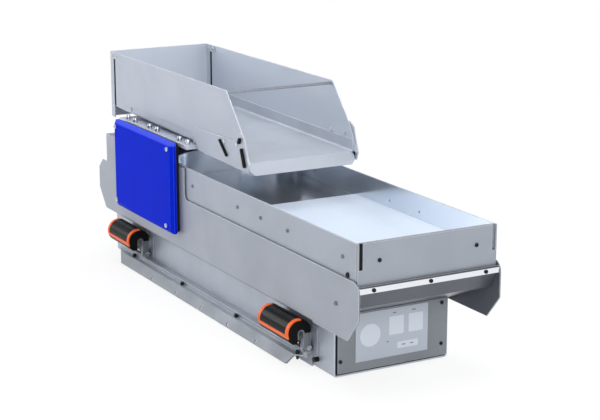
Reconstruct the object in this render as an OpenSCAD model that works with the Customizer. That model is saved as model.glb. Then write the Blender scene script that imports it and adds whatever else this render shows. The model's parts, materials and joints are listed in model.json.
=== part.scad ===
// Flexible parts feeder. A bulk hopper doses parts onto a vibrating tray with a light feed
// plate. Tray and hopper ride on inclined leaf springs in a folded steel housing, which
// stands on a base box with two clamp levers.
// X runs across the feeder, -Y is the discharge end, and Z = 0 is the underside of the base.

/* [Housing] */
// Width over the two side walls
housing_w = 220; // [212:1:232]
// Length over the front and rear ears
housing_l = 858; // [850:1:880]
// Thickness of the housing and base sheets
sheet_t = 2; // [1.5:0.25:2.5]
// Inside radius of the folds
bend_r = 2; // [1:0.5:3]
// Height of the low front part of the side walls
low_wall_h = 83; // [80:1:95]
// Length of the raised rear part
raised_l = 307; // [303:1:318]
// Height of the raised rear part above the low part
raised_h = 48; // [42:1:49]
// Distance from the raised part to the rear ear's edge
rear_step = 35; // [30:1:40]
// Height of the cover tab above the raised part
tab_h = 32; // [24:1:34]
// Radius of the front upper corner and of the tab's corners
ear_r = 14; // [8:1:18]
// Radius of the fillet between low and raised wall
step_fillet_r = 9; // [4:1:14]
// Height of the ear's lower chamfer
ear_chamfer_h = 33; // [20:1:36]
// Length of the ear's lower chamfer
ear_chamfer_l = 28; // [16:1:32]

/* [Front apron] */
// Distance of the apron's flange behind the housing's front edge
apron_setback = 3.5; // [3:0.5:5]
// Height of the apron's upright flange
flange_h = 10; // [9:0.5:12]
// Drop of the flange's top below the low side walls
flange_drop = 5.5; // [5:0.5:7]
// Depth of the apron's tilted face
face_l = 13.5; // [10:0.5:18]
// Height of the apron's tilted face
face_h = 22.5; // [18:0.5:26]
// Distance from the front edge to the point where the apron meets the housing floor
apron_l = 118; // [110:1:126]
// Length of the apron's foot on the housing floor
apron_foot_l = 30; // [20:1:40]
// Thickness of the polished clamping strip
strip_t = 2; // [1:0.5:2.5]
// Height of the polished clamping strip
strip_h = 7.5; // [6.5:0.5:10]
// Distance of the outer strip screws from the side walls
strip_screw_inset = 21.5; // [13:0.5:38]

/* [Base box] */
// Distance of the base box inside the housing's side walls
base_inset = 19.5; // [18:0.5:25]
// Height of the base box, up to the underside of the housing
base_h = 75; // [70:1:85]
// Distance of the base box behind the housing's front edge
base_setback = 94.5; // [85:0.5:100]
// Distance of the base box ahead of the housing's rear edge
base_rear_setback = 25; // [20:1:34]
// Width of the open slot beside the front panel
panel_slot_w = 4; // [3:0.5:5]
// Depth of the panel brackets behind the front panel
bracket_depth = 21; // [15:1:22]
// Width of the type plate
label_w = 115; // [90:1:125]
// Height of the type plate
label_h = 68; // [50:1:69]
// Thickness of the type plate
label_t = 0.8; // [0.5:0.1:1.5]
// Distance of the panel screws from the base's sides
panel_screw_inset = 10; // [9.5:0.5:11.5]
// Height of the lower panel screws above the base
panel_screw_low = 21; // [12:1:30]
// Height of the upper panel screws above the base
panel_screw_high = 80; // [60:1:81]
// Radius of the fixing holes in the base
base_hole_r = 3.3; // [2.5:0.1:4.5]
// Distance of the fixing holes from the base's sides
base_hole_inset = 15.5; // [12.5:0.5:30]
// Distance of the front fixing holes from the base's front edge
base_hole_front = 34.5; // [15:0.5:130]
// Distance of the rear fixing holes from the base's rear edge
base_hole_rear = 104; // [15:0.5:200]

/* [Base rails] */
// Thickness of the rail sheets
rail_t = 2; // [1.5:0.25:2.5]
// Height of the upper ledge
ledge_z = 20.5; // [18:0.5:22]
// Width of the upper ledge
ledge_w = 11.5; // [11:0.5:13]
// Height of the lower ledge
lower_ledge_z = 15; // [13:0.5:16]
// Width of the lower ledge
lower_ledge_w = 9; // [8:0.5:10]
// Spread of the sloping flange
rail_flange_w = 9; // [7:0.5:11]
// Distance of the rails behind the housing's front edge
rail_front = 150; // [146:1:150]
// Distance of the rails ahead of the housing's rear edge
rail_rear = 65; // [50:1:75]
// Radius of the holes in the sloping flange
flange_hole_r = 2.5; // [1.5:0.1:3]
// Spacing of the holes in the sloping flange
flange_hole_pitch = 90; // [70:1:100]

/* [Clamp levers] */
// Length of a lever
lever_l = 85; // [80:1:95]
// Outer radius of the lever's arch
arch_r = 18.5; // [17.5:0.5:19]
// Radius of the hollow under the arch
hollow_r = 5.5; // [5:0.25:6]
// Thickness of the coloured trim and the grip pad
trim_t = 2; // [1.5:0.25:2.5]
// Width of the trim bands at the lever's ends
trim_w = 6; // [4:0.5:9]
// Width of the two cheeks that turn on the pin
cheek_w = 8; // [6:0.5:9]
// Radius of the pivot pin
pin_r = 2.5; // [2:0.1:2.8]
// Running clearance of the lever on its pin
pin_gap = 0.05; // [0.03:0.01:0.1]
// Thickness of the clamp hook
hook_t = 2; // [1.5:0.25:2.5]
// Distance from the front edge to the front lever
front_lever_at = 148; // [146:1:155]
// Distance from the rear lever's front end to the rear edge
rear_lever_at = 170; // [165:1:200]

/* [Side cover] */
// Length of the cover
cover_l = 225; // [215:1:235]
// Height of the cover
cover_h = 144; // [135:1:150]
// Thickness of the cover
cover_t = 9; // [7:0.5:12]
// Depth of the bevel round the cover's outer face
cover_bevel = 4.5; // [3:0.5:5.5]
// Width of the bevel round the cover's outer face
cover_bevel_w = 6; // [4:0.5:6.5]
// Corner radius of the cover
cover_r = 4; // [3:0.5:8]
// Thickness of the gasket behind the cover
gasket_t = 5; // [3:0.5:6]
// How far the gasket lies inside the cover's edge
gasket_inset = 2; // [1:0.5:3]
// Width of the gasket frame
gasket_w = 26; // [20:1:32]

/* [Tray] */
// How far the tray runs on behind the front of the raised side walls
tray_overrun = 104; // [92:1:114]
// Height of the tray walls
tray_h = 56.7; // [55:0.1:58]
// Height of the tray rim above the low side walls
tray_rise = 50; // [49:1:54]
// Thickness of the tray sheets
tray_t = 2; // [1.5:0.25:2.5]
// Running gap between the tray and the side walls
tray_gap = 1; // [1:0.25:2]
// Depth of the trough
tray_depth = 38; // [34:1:40]
// Plan radius of the two rear corners
tray_corner_r = 80; // [60:1:95]
// Distance of the tray behind the housing's front edge
tray_setback = 8; // [7.5:0.5:10]
// Air gap between the front plate and the tray
front_gap = 2.5; // [2:0.25:3.5]
// Width of the upright slots at the front plate's ends
plate_slot_w = 5.5; // [4:0.5:7]
// Length of the light feed plate
feed_l = 353; // [300:1:380]
// Thickness of the light feed plate
feed_t = 3; // [2:0.5:5]
// Clearance round the feed plate
feed_gap = 0.5; // [0.3:0.1:1]
// Depth of the tray screws below the rim
tray_screw_drop = 24.6; // [18:0.1:28]
// Distance of the front plate's screws from the tray's sides
front_screw_inset = 32.3; // [17:0.1:47]

/* [Hopper] */
// Distance of the hopper's side walls inside the housing's side walls
hopper_inset = 20; // [19:0.5:24]
// Length of the hopper's top edge
hopper_l = 435; // [420:1:450]
// Height of the hopper's side walls
hopper_h = 97; // [92:1:110]
// Thickness of the hopper sheets
hopper_t = 1.5; // [1:0.25:2]
// Distance of the hopper's rear ahead of the rear ears
hopper_rear_gap = 12; // [8:1:16]
// Length of the steep cut at the top of the mouth
mouth_top_l = 51; // [40:1:60]
// Drop of the cut at the top of the mouth
mouth_top_h = 57; // [50:1:62]
// Length of the lower cut of the mouth
mouth_low_l = 22; // [16:1:28]
// Depth of the rear wall's folded returns
return_l = 16; // [12:1:18]
// Width of the open slot between side wall and return
corner_slot_w = 7; // [5:0.5:9]
// Downward tilt of the pan towards the lip
pan_tilt = 0.6; // [0.3:0.1:0.7]
// Height of the pan's upturned sides
pan_side_h = 20; // [18:1:20]
// Fold radius of the pan
pan_r = 4; // [2:0.5:6]
// Length of the pan's lip
lip_l = 19.5; // [14:0.5:22]
// Angle of the lip below the pan
lip_angle = 52; // [40:1:60]
// Thickness of the cheek plates
cheek_t = 2; // [1.5:0.25:2.5]
// How far the rubber buffers stand proud of the cheeks
buffer_h = 3; // [2:0.5:4]
// Distance of the hopper carrier behind the mouth's lower corner
cheek_reach = 175; // [175:1:185]
// Radius of the cross rod at the mouth
rod_r = 2.2; // [1.5:0.1:3]
// Height of the hopper carrier above the tray rim
carrier_lift = 27; // [24:1:32]
// Thickness of the hopper carrier
carrier_t = 6; // [5:0.5:8]
// Running gap between the carrier and the cover tabs
carrier_gap = 2; // [1.5:0.25:3]

/* [Drives] */
// Backward lean of the leaf springs
spring_lean = 17; // [12:1:20]
// Thickness of a leaf spring
leaf_t = 1.5; // [1:0.25:2]
// Width of a leaf spring
leaf_w = 60; // [50:1:64]
// Width of the tray carrier
tray_carrier_w = 80; // [74:1:90]
// Height of the tray carrier
tray_carrier_h = 18; // [14:1:20]
// Distance of the tray carrier from the tray's ends
tray_carrier_in = 56; // [50:1:60]
// Height of the drive blocks
drive_h = 18; // [14:1:20]
// Width of the tray's drive block
tray_drive_w = 90; // [70:1:100]
// Distance of the tray's drive block ahead of the tray's rear end
tray_drive_rear = 82; // [60:1:90]
// Height of the hopper's drive block above the base box
hopper_drive_lift = 45; // [38:1:48]
// Distance of the hopper's drive block behind the tray
hopper_drive_gap = 8; // [6:1:10]
// Spacing of the hopper's leaf springs
hopper_leaf_pitch = 94; // [88:1:98]
// Width of a magnet core
magnet_w = 48; // [40:1:52]
// Height of a magnet core
magnet_h = 36; // [33:1:37]
// Depth of a magnet core
magnet_l = 26; // [24:1:28]
// Width of the armatures
armature_w = 44; // [36:1:48]
// Thickness of the armatures
armature_l = 8; // [6:1:9]
// Depth of a spring seat
seat_l = 12; // [8:1:14]
// Height of a spring seat
seat_h = 16; // [14:1:17]
// Air gap of the magnets
air_gap = 2; // [1.6:0.1:3]

/* [Hidden] */
$fn = 48;
margin = 1;           // how far a cutting body runs past the faces that it cuts
touch = 0.01;         // overlap that fuses two parts of one solid

// Finishes
steel = [0.66, 0.68, 0.71];
bright = [0.80, 0.82, 0.84];
black = [0.10, 0.10, 0.11];
blue = [0.10, 0.12, 0.75];
orange = [0.98, 0.42, 0.16];
light = [0.90, 0.94, 0.98];
iron = [0.35, 0.36, 0.38];

// Housing datums
front_y = -housing_l / 2;
rear_y = housing_l / 2;
side_x = housing_w / 2 - sheet_t;
strip_screw_x = side_x - strip_screw_inset;
floor_top = base_h + sheet_t;
low_top = base_h + low_wall_h;
raised_top = low_top + raised_h;
raised_rear = rear_y - rear_step;
raised_front = raised_rear - raised_l;
rear_ear_r = 15;      // size of the rear ear's upper chamfer
tab_front = raised_front + 26;
tab_rear = tab_front + 211;
tab_r = 6;            // corner radius of the cover tab
tab_top = raised_top + tab_h;

// Base datums
base_front = front_y + base_setback;
base_rear = rear_y - base_rear_setback;
base_w = housing_w - 2 * base_inset;
wall_x = base_w / 2;
panel_screw_x = wall_x - panel_screw_inset;

// Apron: the path of its outer surface, as [y, z]
flange_y = front_y + apron_setback;
flange_top = low_top - flange_drop;
flange_low = flange_top - flange_h;
apron_path = [
    [flange_y, flange_top],
    [flange_y, flange_low],
    [flange_y + face_l, flange_low - face_h],
    [front_y + apron_l, floor_top],
    [front_y + apron_l + apron_foot_l, floor_top]
];
gusset_h = 24;        // height of the apron's side gussets
strip_screw_z = flange_low + 0.5 + strip_h / 2;
ear_screw_y = front_y + 56.5;
ear_screw_lift = 15;  // height of the ear screw above the apron

// Tray datums
rim_z = low_top + tray_rise;
tray_front = front_y + tray_setback;
tray_rear = raised_front + tray_overrun;
tray_w = 2 * (side_x - tray_gap);
front_screw_x = tray_w / 2 - front_screw_inset;
tray_wall_front = tray_front + tray_t + front_gap;
skirt_z = rim_z - tray_h;
trough_z = rim_z - tray_depth;
tray_screw_z = rim_z - tray_screw_drop;
tray_screw_ys = [
    tray_front + 37.5, tray_front + 184.5, tray_front + 263.5, tray_front + 334.5,
    tray_rear - 127.5
];
seam_screw_y = tray_front + 24;
seam_screw_r = 3.6;
seam_screw_z = low_top + seam_screw_r + 0.6;
bar_clear = 1.3;      // gap between the tray's skirt and the cross bar
bar_l = 10;           // depth of the cross bar
bar_top = skirt_z - bar_clear;

// Hopper datums
hopper_w = housing_w - 2 * hopper_inset;
hopper_rear = rear_y - hopper_rear_gap;
hopper_front = hopper_rear - hopper_l;
carrier_z = rim_z + carrier_lift;
carrier_top = carrier_z + carrier_t;
side_low_z = carrier_top + 3;
hopper_top = side_low_z + hopper_h;
hopper_in = hopper_w / 2 - hopper_t;
pad_x = hopper_in - 18.5;
mouth = [hopper_front - mouth_top_l - mouth_low_l, side_low_z];
carrier_front = mouth[0] + cheek_reach;
carrier_rear = hopper_rear - 72;
carrier_x = side_x - carrier_gap;
carrier_screw_x = (hopper_w / 2 + cheek_t + carrier_x) / 2;
pan_rear = hopper_rear - hopper_t - bend_r;
pan_rear_z = side_low_z + 4.5;
pan_l = pan_rear - mouth[0] - 10;
splice_l = 30;        // length of the corner plates inside the hopper
splice_h = 11;        // height of the corner plates and of the bridge beside the slot

// Cover datums
cover_front = raised_front + 17;
cover_z = tab_top + 5 - cover_h;
cover_screw_rear = 10;  // inset of the two rear cover screws from the rear end
cover_screw_top = 13;   // inset of the upper front screw from the front end
cover_screw_low = 21;   // inset of the lower front screw from the front end
cover_screw_z = 11;     // inset of the cover screws from the upper and lower edges

// Rail and lever datums
rail_y0 = front_y + rail_front;
rail_y1 = rear_y - rail_rear;
ledge_x = wall_x + ledge_w;
ridge_x = ledge_x + lower_ledge_w;
foot_x = ridge_x + rail_flange_w;
rail_path = [
    [-wall_x, 0],
    [-wall_x, ledge_z],
    [-ledge_x, ledge_z],
    [-ledge_x, lower_ledge_z],
    [-ridge_x, lower_ledge_z],
    [-foot_x, 0]
];
bolt_x = ledge_x + 3.5;
bolt_pitch = (rail_y1 - rail_y0 - 85) / 3;
boss_r = 5;           // radius of the lever's pivot boss
pivot_x = -(wall_x + 8.5);
pivot_z = ledge_z + 7.5;
front_lever_y = front_y + front_lever_at;
rear_lever_y = rear_y - rear_lever_at;
arch = [-15, 24.3];   // centre of the arch, from the pivot
hollow = [-11.5, 22]; // centre of the hollow's round top, from the pivot
grip_low = 8;         // height of the grip's lower edge above the pivot
trim_from = 80;       // angle at which the trim and the pad begin, near the arch's crown
pad_to = 186;         // angle at which the pad ends and the lower trim strip begins
trim_to = 205;        // angle at which the trim ends, at the grip's lower edge
ear_t = 4;            // thickness of the bracket's ears

// Drive datums
lean = tan(spring_lean);
carrier_under = trough_z - tray_t;
tray_drive_y0 = front_y + apron_l + apron_foot_l + 5;
tray_drive_y1 = tray_rear - tray_drive_rear;
tray_drive_top = floor_top + drive_h;
hopper_drive_y0 = tray_rear + hopper_drive_gap;
hopper_drive_y1 = raised_rear - sheet_t - 4;
hopper_drive_z = base_h + hopper_drive_lift;
hopper_drive_top = hopper_drive_z + drive_h;
leaf_lift = 2;        // gap between a leaf's lower end and the drive block
seat_fit = 0.02;      // gap between a leaf and the seat behind it
tray_leaf_ys = [tray_drive_y0 + 12, tray_drive_y1 - 50];
hopper_leaf_ys = [hopper_drive_y0 + seat_l / 2, hopper_drive_y0 + seat_l / 2 + hopper_leaf_pitch];

// Outline of a sheet of thickness t folded along the points p, laid on the path's left
function left(v) = [-v[1], v[0]] / norm(v);
function mitre(a, b, c, t) =
    let (n = left(b - a), m = (n + left(c - b)) / norm(n + left(c - b))) b + m * t / (m * n);
function folded(p, t) = let (e = len(p) - 1) concat(
    p,
    [p[e] + left(p[e] - p[e - 1]) * t],
    [for (i = [e - 1:-1:1]) mitre(p[i - 1], p[i], p[i + 1], t)],
    [p[0] + left(p[1] - p[0]) * t]
);
// Points of an arc round c, from angle a to angle b
function arc(c, r, a, b, n = 8) = [for (i = [0:n]) c + r * [
    cos(a + (b - a) * i / n), sin(a + (b - a) * i / n)
]];
// Height of the apron's outer surface at y, along its slope
function apron_z(y) = apron_path[2][1] + (y - apron_path[2][0])
    * (apron_path[3][1] - apron_path[2][1]) / (apron_path[3][0] - apron_path[2][0]);
// Height of the pan's underside at y
function pan_under(y) = pan_rear_z - hopper_t / cos(pan_tilt) - (pan_rear - y) * tan(pan_tilt);

// An outline in [y, z], extruded across the feeder from x0
module along_x(x0, l) translate([x0, 0, 0]) rotate([90, 0, 90]) linear_extrude(l) children();
// An outline in [x, z], extruded along the feeder from y0
module along_y(y0, l) translate([0, y0 + l, 0]) rotate([90, 0, 0]) linear_extrude(l) children();
// The same on both sides of the feeder
module both_sides() {
    children();
    mirror([1, 0, 0]) children();
}
// Rectangle with its two lower corners rounded, centred on x, standing on y = 0
module round_bottom(w, h, r) {
    translate([-w / 2, r]) square([w, h - r]);
    translate([r - w / 2, 0]) square([w - 2 * r, h]);
    for (s = [-1, 1]) translate([s * (w / 2 - r), r]) circle(r);
}
// Sheet folded into a channel that opens upwards
module channel(w, h, t, r) difference() {
    round_bottom(w, h, r + t);
    translate([0, t]) round_bottom(w - 2 * t, h, r);
}
// Rectangle with four rounded corners
module round_rect(w, h, r) {
    translate([r, 0]) square([w - 2 * r, h]);
    translate([0, r]) square([w, h - 2 * r]);
    for (x = [r, w - r], y = [r, h - r]) translate([x, y]) circle(r);
}
// Sector of a ring
module ring_sector(r_out, r_in, a, b) intersection() {
    difference() {
        circle(r_out);
        circle(r_in);
    }
    polygon(concat([[0, 0]], arc([0, 0], 2 * r_out, a, b)));
}
// Screw along +Z: head above its seat, shank below, hexagon socket in the head
module screw(head_r, head_h, shank_r, shank_l) difference() {
    union() {
        cylinder(r = head_r, h = 0.6 * head_h);
        translate([0, 0, 0.6 * head_h]) cylinder(r1 = head_r, r2 = 0.8 * head_r, h = 0.4 * head_h);
        translate([0, 0, -shank_l]) cylinder(r = shank_r, h = shank_l + head_h / 3);
    }
    translate([0, 0, 0.45 * head_h]) cylinder(r = 0.45 * head_r, h = head_h, $fn = 6);
}
// Turns +Z to the near side, -X
module to_near() rotate([0, -90, 0]) children();
// Turns +Z to the discharge end, -Y
module to_front() rotate([90, 0, 0]) children();

// ---- Housing ----

// Outline of a side wall with its ears, shoulder, raised part and cover tab, as [y, z]
module side_outline() polygon(concat(
    [[front_y + ear_chamfer_l, base_h], [rear_y - ear_chamfer_l, base_h]],
    [[rear_y, base_h + ear_chamfer_h], [rear_y, low_top - rear_ear_r]],
    [[rear_y - rear_ear_r, low_top], [raised_rear, low_top], [raised_rear, raised_top]],
    [[tab_rear, raised_top]],
    arc([tab_rear - tab_r, tab_top - tab_r], tab_r, 0, 90),
    arc([tab_front + tab_r, tab_top - tab_r], tab_r, 90, 180),
    [[tab_front, raised_top], [raised_front, raised_top]],
    arc([raised_front - step_fillet_r, low_top + step_fillet_r], step_fillet_r, 0, -90),
    arc([front_y + ear_r, low_top - ear_r], ear_r, 90, 180),
    [[front_y, base_h + ear_chamfer_h]]
));

// One folded sheet: the housing floor and both side walls, which run on as flat ears
module housing_shell() color(steel) difference() {
    intersection() {
        union() {
            both_sides() translate([-housing_w / 2, front_y, base_h])
                cube([sheet_t, apron_l + touch, tab_top]);
            both_sides() translate([-housing_w / 2, base_rear - touch, base_h])
                cube([sheet_t, rear_y - base_rear + touch, tab_top]);
            translate([0, 0, base_h]) along_y(front_y + apron_l, base_rear - front_y - apron_l)
                channel(housing_w, tab_top - base_h, sheet_t, bend_r);
        }
        along_x(-housing_w / 2, housing_w) side_outline();
    }
    both_sides() side_wall_holes();
}

// Holes for the ear screw and the four cover screws
module side_wall_holes() {
    translate([-side_x + margin, ear_screw_y, apron_z(ear_screw_y) + ear_screw_lift])
        to_near() cylinder(r = 1.7, h = sheet_t + 2 * margin);
    at_cover_screws() translate([margin, 0, 0]) translate([-side_x, 0, 0])
        to_near() cylinder(r = 2.1, h = sheet_t + 2 * margin);
}

// Places its child at each cover screw, in the plane x = 0
module at_cover_screws() for (p = [
    [cover_front + cover_screw_top, cover_z + cover_h - cover_screw_z],
    [cover_front + cover_screw_low, cover_z + cover_screw_z],
    [cover_front + cover_l - cover_screw_rear, cover_z + cover_screw_z],
    [cover_front + cover_l - cover_screw_rear, cover_z + cover_h - cover_screw_z]
]) translate([0, p[0], p[1]]) children();

// Folded apron between the front ears: flange, tilted face, slope and foot, with side gussets
module front_apron() color(steel) difference() {
    union() {
        along_x(-side_x, 2 * side_x) polygon(folded([for (i = [0:3]) apron_path[i]], sheet_t));
        along_x(bend_r - side_x, 2 * (side_x - bend_r)) polygon(folded(
            [apron_path[2], apron_path[3], apron_path[4]], sheet_t));
        both_sides() along_x(-side_x, sheet_t) polygon([
            apron_path[2] + [3, 1],
            apron_path[3] + [-4, 2],
            apron_path[3] + [-14, gusset_h],
            apron_path[2] + [3, gusset_h]
        ]);
    }
    for (x = [-1, 0, 1]) translate([x * strip_screw_x, flange_y + sheet_t + margin, strip_screw_z])
        to_front() cylinder(r = 1.7, h = sheet_t + 2 * margin);
    both_sides() translate([0, 0, 0]) side_wall_holes_inner();
}

// Hole for the ear screw in a gusset
module side_wall_holes_inner()
    translate([sheet_t + margin - side_x, ear_screw_y, apron_z(ear_screw_y) + ear_screw_lift])
        to_near() cylinder(r = 1.7, h = sheet_t + 2 * margin);

// Polished strip that clamps the apron's flange to the cross bar
module front_clamp_strip() color(bright) difference() {
    translate([-side_x, flange_y - strip_t, flange_low + 0.5])
        cube([2 * side_x, strip_t, strip_h]);
    for (x = [-1, 0, 1]) translate([x * strip_screw_x, flange_y + margin, strip_screw_z])
        to_front() cylinder(r = 1.7, h = strip_t + 2 * margin);
}

// Bar between the ears, behind the apron's flange
module front_cross_bar() color(iron) difference() {
    translate([-side_x, flange_y + sheet_t, flange_low + 1])
        cube([2 * side_x, bar_l, bar_top - flange_low - 1]);
    for (x = [-1, 0, 1]) translate([x * strip_screw_x, flange_y + sheet_t + 8, strip_screw_z])
        to_front() cylinder(r = 1.6, h = 8 + margin);
}

// Upright rear wall, with a foot on the housing floor
module housing_rear_wall() color(steel) {
    translate([0, 0, floor_top]) along_y(raised_rear - sheet_t, sheet_t)
        round_bottom(2 * side_x, raised_top - floor_top, bend_r);
    translate([bend_r - side_x, raised_rear - 20, floor_top])
        cube([2 * (side_x - bend_r), 20 - sheet_t + touch, sheet_t]);
}

// Deck over the rear of the housing, cut out round the tray and over the hopper's springs
module housing_deck() color(steel) difference() {
    translate([-side_x, raised_front, raised_top - sheet_t])
        cube([2 * side_x, raised_rear - sheet_t - raised_front, sheet_t]);
    translate([0, 0, raised_top - sheet_t - margin]) linear_extrude(sheet_t + 2 * margin) {
        tray_plan(-3 - tray_gap);
        translate([-leaf_w / 2 - 8, tray_rear - margin])
            square([leaf_w + 16, carrier_rear + 8 - tray_rear]);
    }
}

// ---- Side cover ----

// Rounded block with its outer face bevelled all round, lying in the plane x = 0 towards -X
module bevelled_plate(l, h, t, r, bevel, bevel_w) hull() {
    rotate([90, 0, 90]) translate([0, 0, bevel - t]) linear_extrude(t - bevel) round_rect(l, h, r);
    rotate([90, 0, 90]) translate([bevel_w, bevel_w, -t]) linear_extrude(bevel)
        round_rect(l - 2 * bevel_w, h - 2 * bevel_w, r / 2);
}

// Thick plastic cover over the tab, held by four screws
module side_cover() color(blue) difference() {
    translate([-housing_w / 2 - gasket_t, cover_front, cover_z])
        bevelled_plate(cover_l, cover_h, cover_t, cover_r, cover_bevel, cover_bevel_w, $fn = 32);
    at_cover_screws() translate([margin - housing_w / 2 - gasket_t, 0, 0])
        to_near() cylinder(r = 2.1, h = cover_t + 2 * margin);
}

// Rubber frame between the cover and the side wall
module cover_gasket() color(black) difference() {
    along_x(-housing_w / 2 - gasket_t, gasket_t) difference() {
        translate([cover_front + gasket_inset, cover_z + gasket_inset])
            round_rect(cover_l - 2 * gasket_inset, cover_h - 2 * gasket_inset, 6);
        translate([cover_front + gasket_w, cover_z + gasket_w])
            square([cover_l - 2 * gasket_w, cover_h - 2 * gasket_w]);
    }
    at_cover_screws() translate([margin - housing_w / 2, 0, 0])
        to_near() cylinder(r = 2.1, h = gasket_t + 2 * margin);
}

module cover_screws() color(bright)
    at_cover_screws() translate([-housing_w / 2 - gasket_t - cover_t, 0, 0])
        to_near() screw(3.6, 2.2, 2, gasket_t + cover_t + sheet_t + 1);

// ---- Base box ----

// One folded sheet: the base's floor and both walls, which rise under the apron at the front
module base_box() color(steel) difference() {
    intersection() {
        along_y(base_front, base_rear - base_front)
            channel(base_w, apron_z(base_front), sheet_t, bend_r);
        along_x(-wall_x, base_w) polygon([
            [base_front, 0],
            [base_rear, 0],
            [base_rear, base_h],
            [apron_path[3][0], base_h],
            [apron_path[3][0], floor_top],
            [base_front, apron_z(base_front)]
        ]);
    }
    translate([wall_x - 2 * sheet_t, base_front - margin, sheet_t + bend_r])
        cube([3 * sheet_t, sheet_t + margin, base_h + floor_top]);
    for (s = [-1, 1], y = [base_front + base_hole_front, base_rear - base_hole_rear])
        translate([s * (wall_x - base_hole_inset), y, -margin])
            cylinder(r = base_hole_r, h = sheet_t + 2 * margin);
    translate([-wall_x - margin, rail_y0 - 13, 14]) rotate([0, 90, 0])
        cylinder(r = 2.1, h = sheet_t + 2 * margin);
}

// Front panel, which leaves an open slot beside the near wall
panel_x0 = sheet_t + panel_slot_w - wall_x;
panel_z0 = sheet_t + bend_r;
panel_top = apron_z(base_front + sheet_t);
module front_panel() color(steel) difference() {
    translate([panel_x0, base_front, panel_z0])
        cube([wall_x - panel_x0, sheet_t, panel_top - panel_z0]);
    at_panel_screws() translate([0, sheet_t + margin, 0])
        to_front() cylinder(r = 1.7, h = sheet_t + 2 * margin);
}

// Places its child at each panel screw, on the panel's outer face
module at_panel_screws() for (
    x = [-panel_screw_x, panel_screw_x], z = [panel_screw_low, panel_screw_high]
) translate([x, base_front, z]) children();

// Stepped brackets that carry the panel from the walls, well behind the slot
module panel_brackets() color(iron) difference() {
    intersection() {
        both_sides() translate([0, 0, panel_z0 + 2]) linear_extrude(panel_top) polygon(folded([
            [panel_x0 + 10, base_front + sheet_t],
            [panel_x0, base_front + sheet_t],
            [panel_x0, base_front + bracket_depth],
            [sheet_t - wall_x, base_front + bracket_depth]
        ], -1.5));
        along_x(-wall_x, base_w) polygon([
            [base_front, 0],
            [apron_path[3][0], 0],
            [apron_path[3][0], base_h],
            [base_front, apron_z(base_front) - sheet_t]
        ]);
    }
    at_panel_screws() translate([0, sheet_t + 3, 0]) to_front() cylinder(r = 1.6, h = 4);
}

module front_panel_screws() color(black)
    at_panel_screws() to_front() screw(2.6, 1.6, 1.5, 5);

// Plate of the base's rear end
module rear_panel() color(steel) difference() {
    translate([0, 0, sheet_t]) along_y(base_rear - sheet_t, sheet_t)
        round_bottom(base_w - 2 * sheet_t, base_h - sheet_t, bend_r);
    translate([0, base_rear + margin, base_h / 2])
        to_front() cylinder(r = 6.2, h = sheet_t + 2 * margin);
}

// Plain gland for the supply cable
module cable_gland() color(black) translate([0, base_rear, base_h / 2]) rotate([-90, 0, 0])
    difference() {
        union() {
            translate([0, 0, -sheet_t - 8]) cylinder(r = 6, h = sheet_t + 8);
            cylinder(r = 11, h = 6, $fn = 6);
            translate([0, 0, 6]) cylinder(r = 8.5, h = 8);
        }
        translate([0, 0, -sheet_t - 9]) cylinder(r = 4, h = 24 + sheet_t);
    }

// Bare type plate on the front panel
module label_plate() color(light)
    translate([-label_w / 2, base_front - label_t, (panel_top + panel_z0 - label_h) / 2 + 5])
        cube([label_w, label_t, label_h]);

// ---- Base rails ----

// Folded rail along the base, with a stepped top and a drilled sloping flange
module base_rail() difference() {
    along_y(rail_y0, rail_y1 - rail_y0) difference() {
        polygon(folded(rail_path, rail_t));
        translate([-2 * foot_x, -2 * rail_t]) square([2 * foot_x, 2 * rail_t]);
    }
    translate([0, 0, -margin]) linear_extrude(ledge_z + 2 * margin) {
        polygon([
            [-ledge_x, rail_y0 - margin], [-ledge_x, rail_y0 + 8],
            [-foot_x - margin, rail_y0 + 29], [-foot_x - margin, rail_y0 - margin]
        ]);
        polygon([
            [-ledge_x, rail_y1 + margin], [-ledge_x, rail_y1],
            [-foot_x - margin, rail_y1 - 46], [-foot_x - margin, rail_y1 + margin]
        ]);
    }
    for (i = [0:4]) translate([
        0.3 * -ridge_x - 0.7 * foot_x, rail_y0 + 120 + i * flange_hole_pitch, 0.3 * lower_ledge_z
    ]) rotate([0, -atan2(lower_ledge_z, rail_flange_w), 0])
        cylinder(r = flange_hole_r, h = 12, center = true);
    at_rail_bolts() translate([0, 0, -rail_t - margin]) cylinder(r = 1.8, h = rail_t + 2 * margin);
}

// Places its child at each bolt on the near rail's lower ledge
module at_rail_bolts() for (i = [0:3])
    translate([-bolt_x, rail_y0 + 18 + i * bolt_pitch, lower_ledge_z]) children();

module near_base_rail() color(steel) base_rail();
module far_base_rail() color(steel) mirror([1, 0, 0]) base_rail();

// Cap bolts on the rails' lower ledges, each with its nut under the ledge
module rail_bolts() color(black) both_sides() at_rail_bolts() {
    screw(2.9, 5, 1.7, rail_t + 6);
    translate([0, 0, -rail_t - 3]) cylinder(r = 3, h = 3, $fn = 6);
}

// ---- Small parts of the housing ----

module side_wall_screws() color(iron) both_sides()
    translate([-housing_w / 2, ear_screw_y, apron_z(ear_screw_y) + ear_screw_lift])
        to_near() screw(3, 2, 1.5, 2 * sheet_t + 2);

module apron_screws() color(black) for (x = [-1, 0, 1])
    translate([x * strip_screw_x, flange_y - strip_t, strip_screw_z])
        to_front() screw(2.8, 1.8, 1.5, strip_t + sheet_t + 6);

// Locating pin on the near wall of the base, ahead of the rail
module locating_pin() color(black) translate([-wall_x, rail_y0 - 13, 14]) to_near() {
    cylinder(r = 3.5, h = 8);
    translate([0, 0, -sheet_t - 2]) cylinder(r = 2, h = sheet_t + 3);
}

// ---- Clamp levers ----

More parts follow.
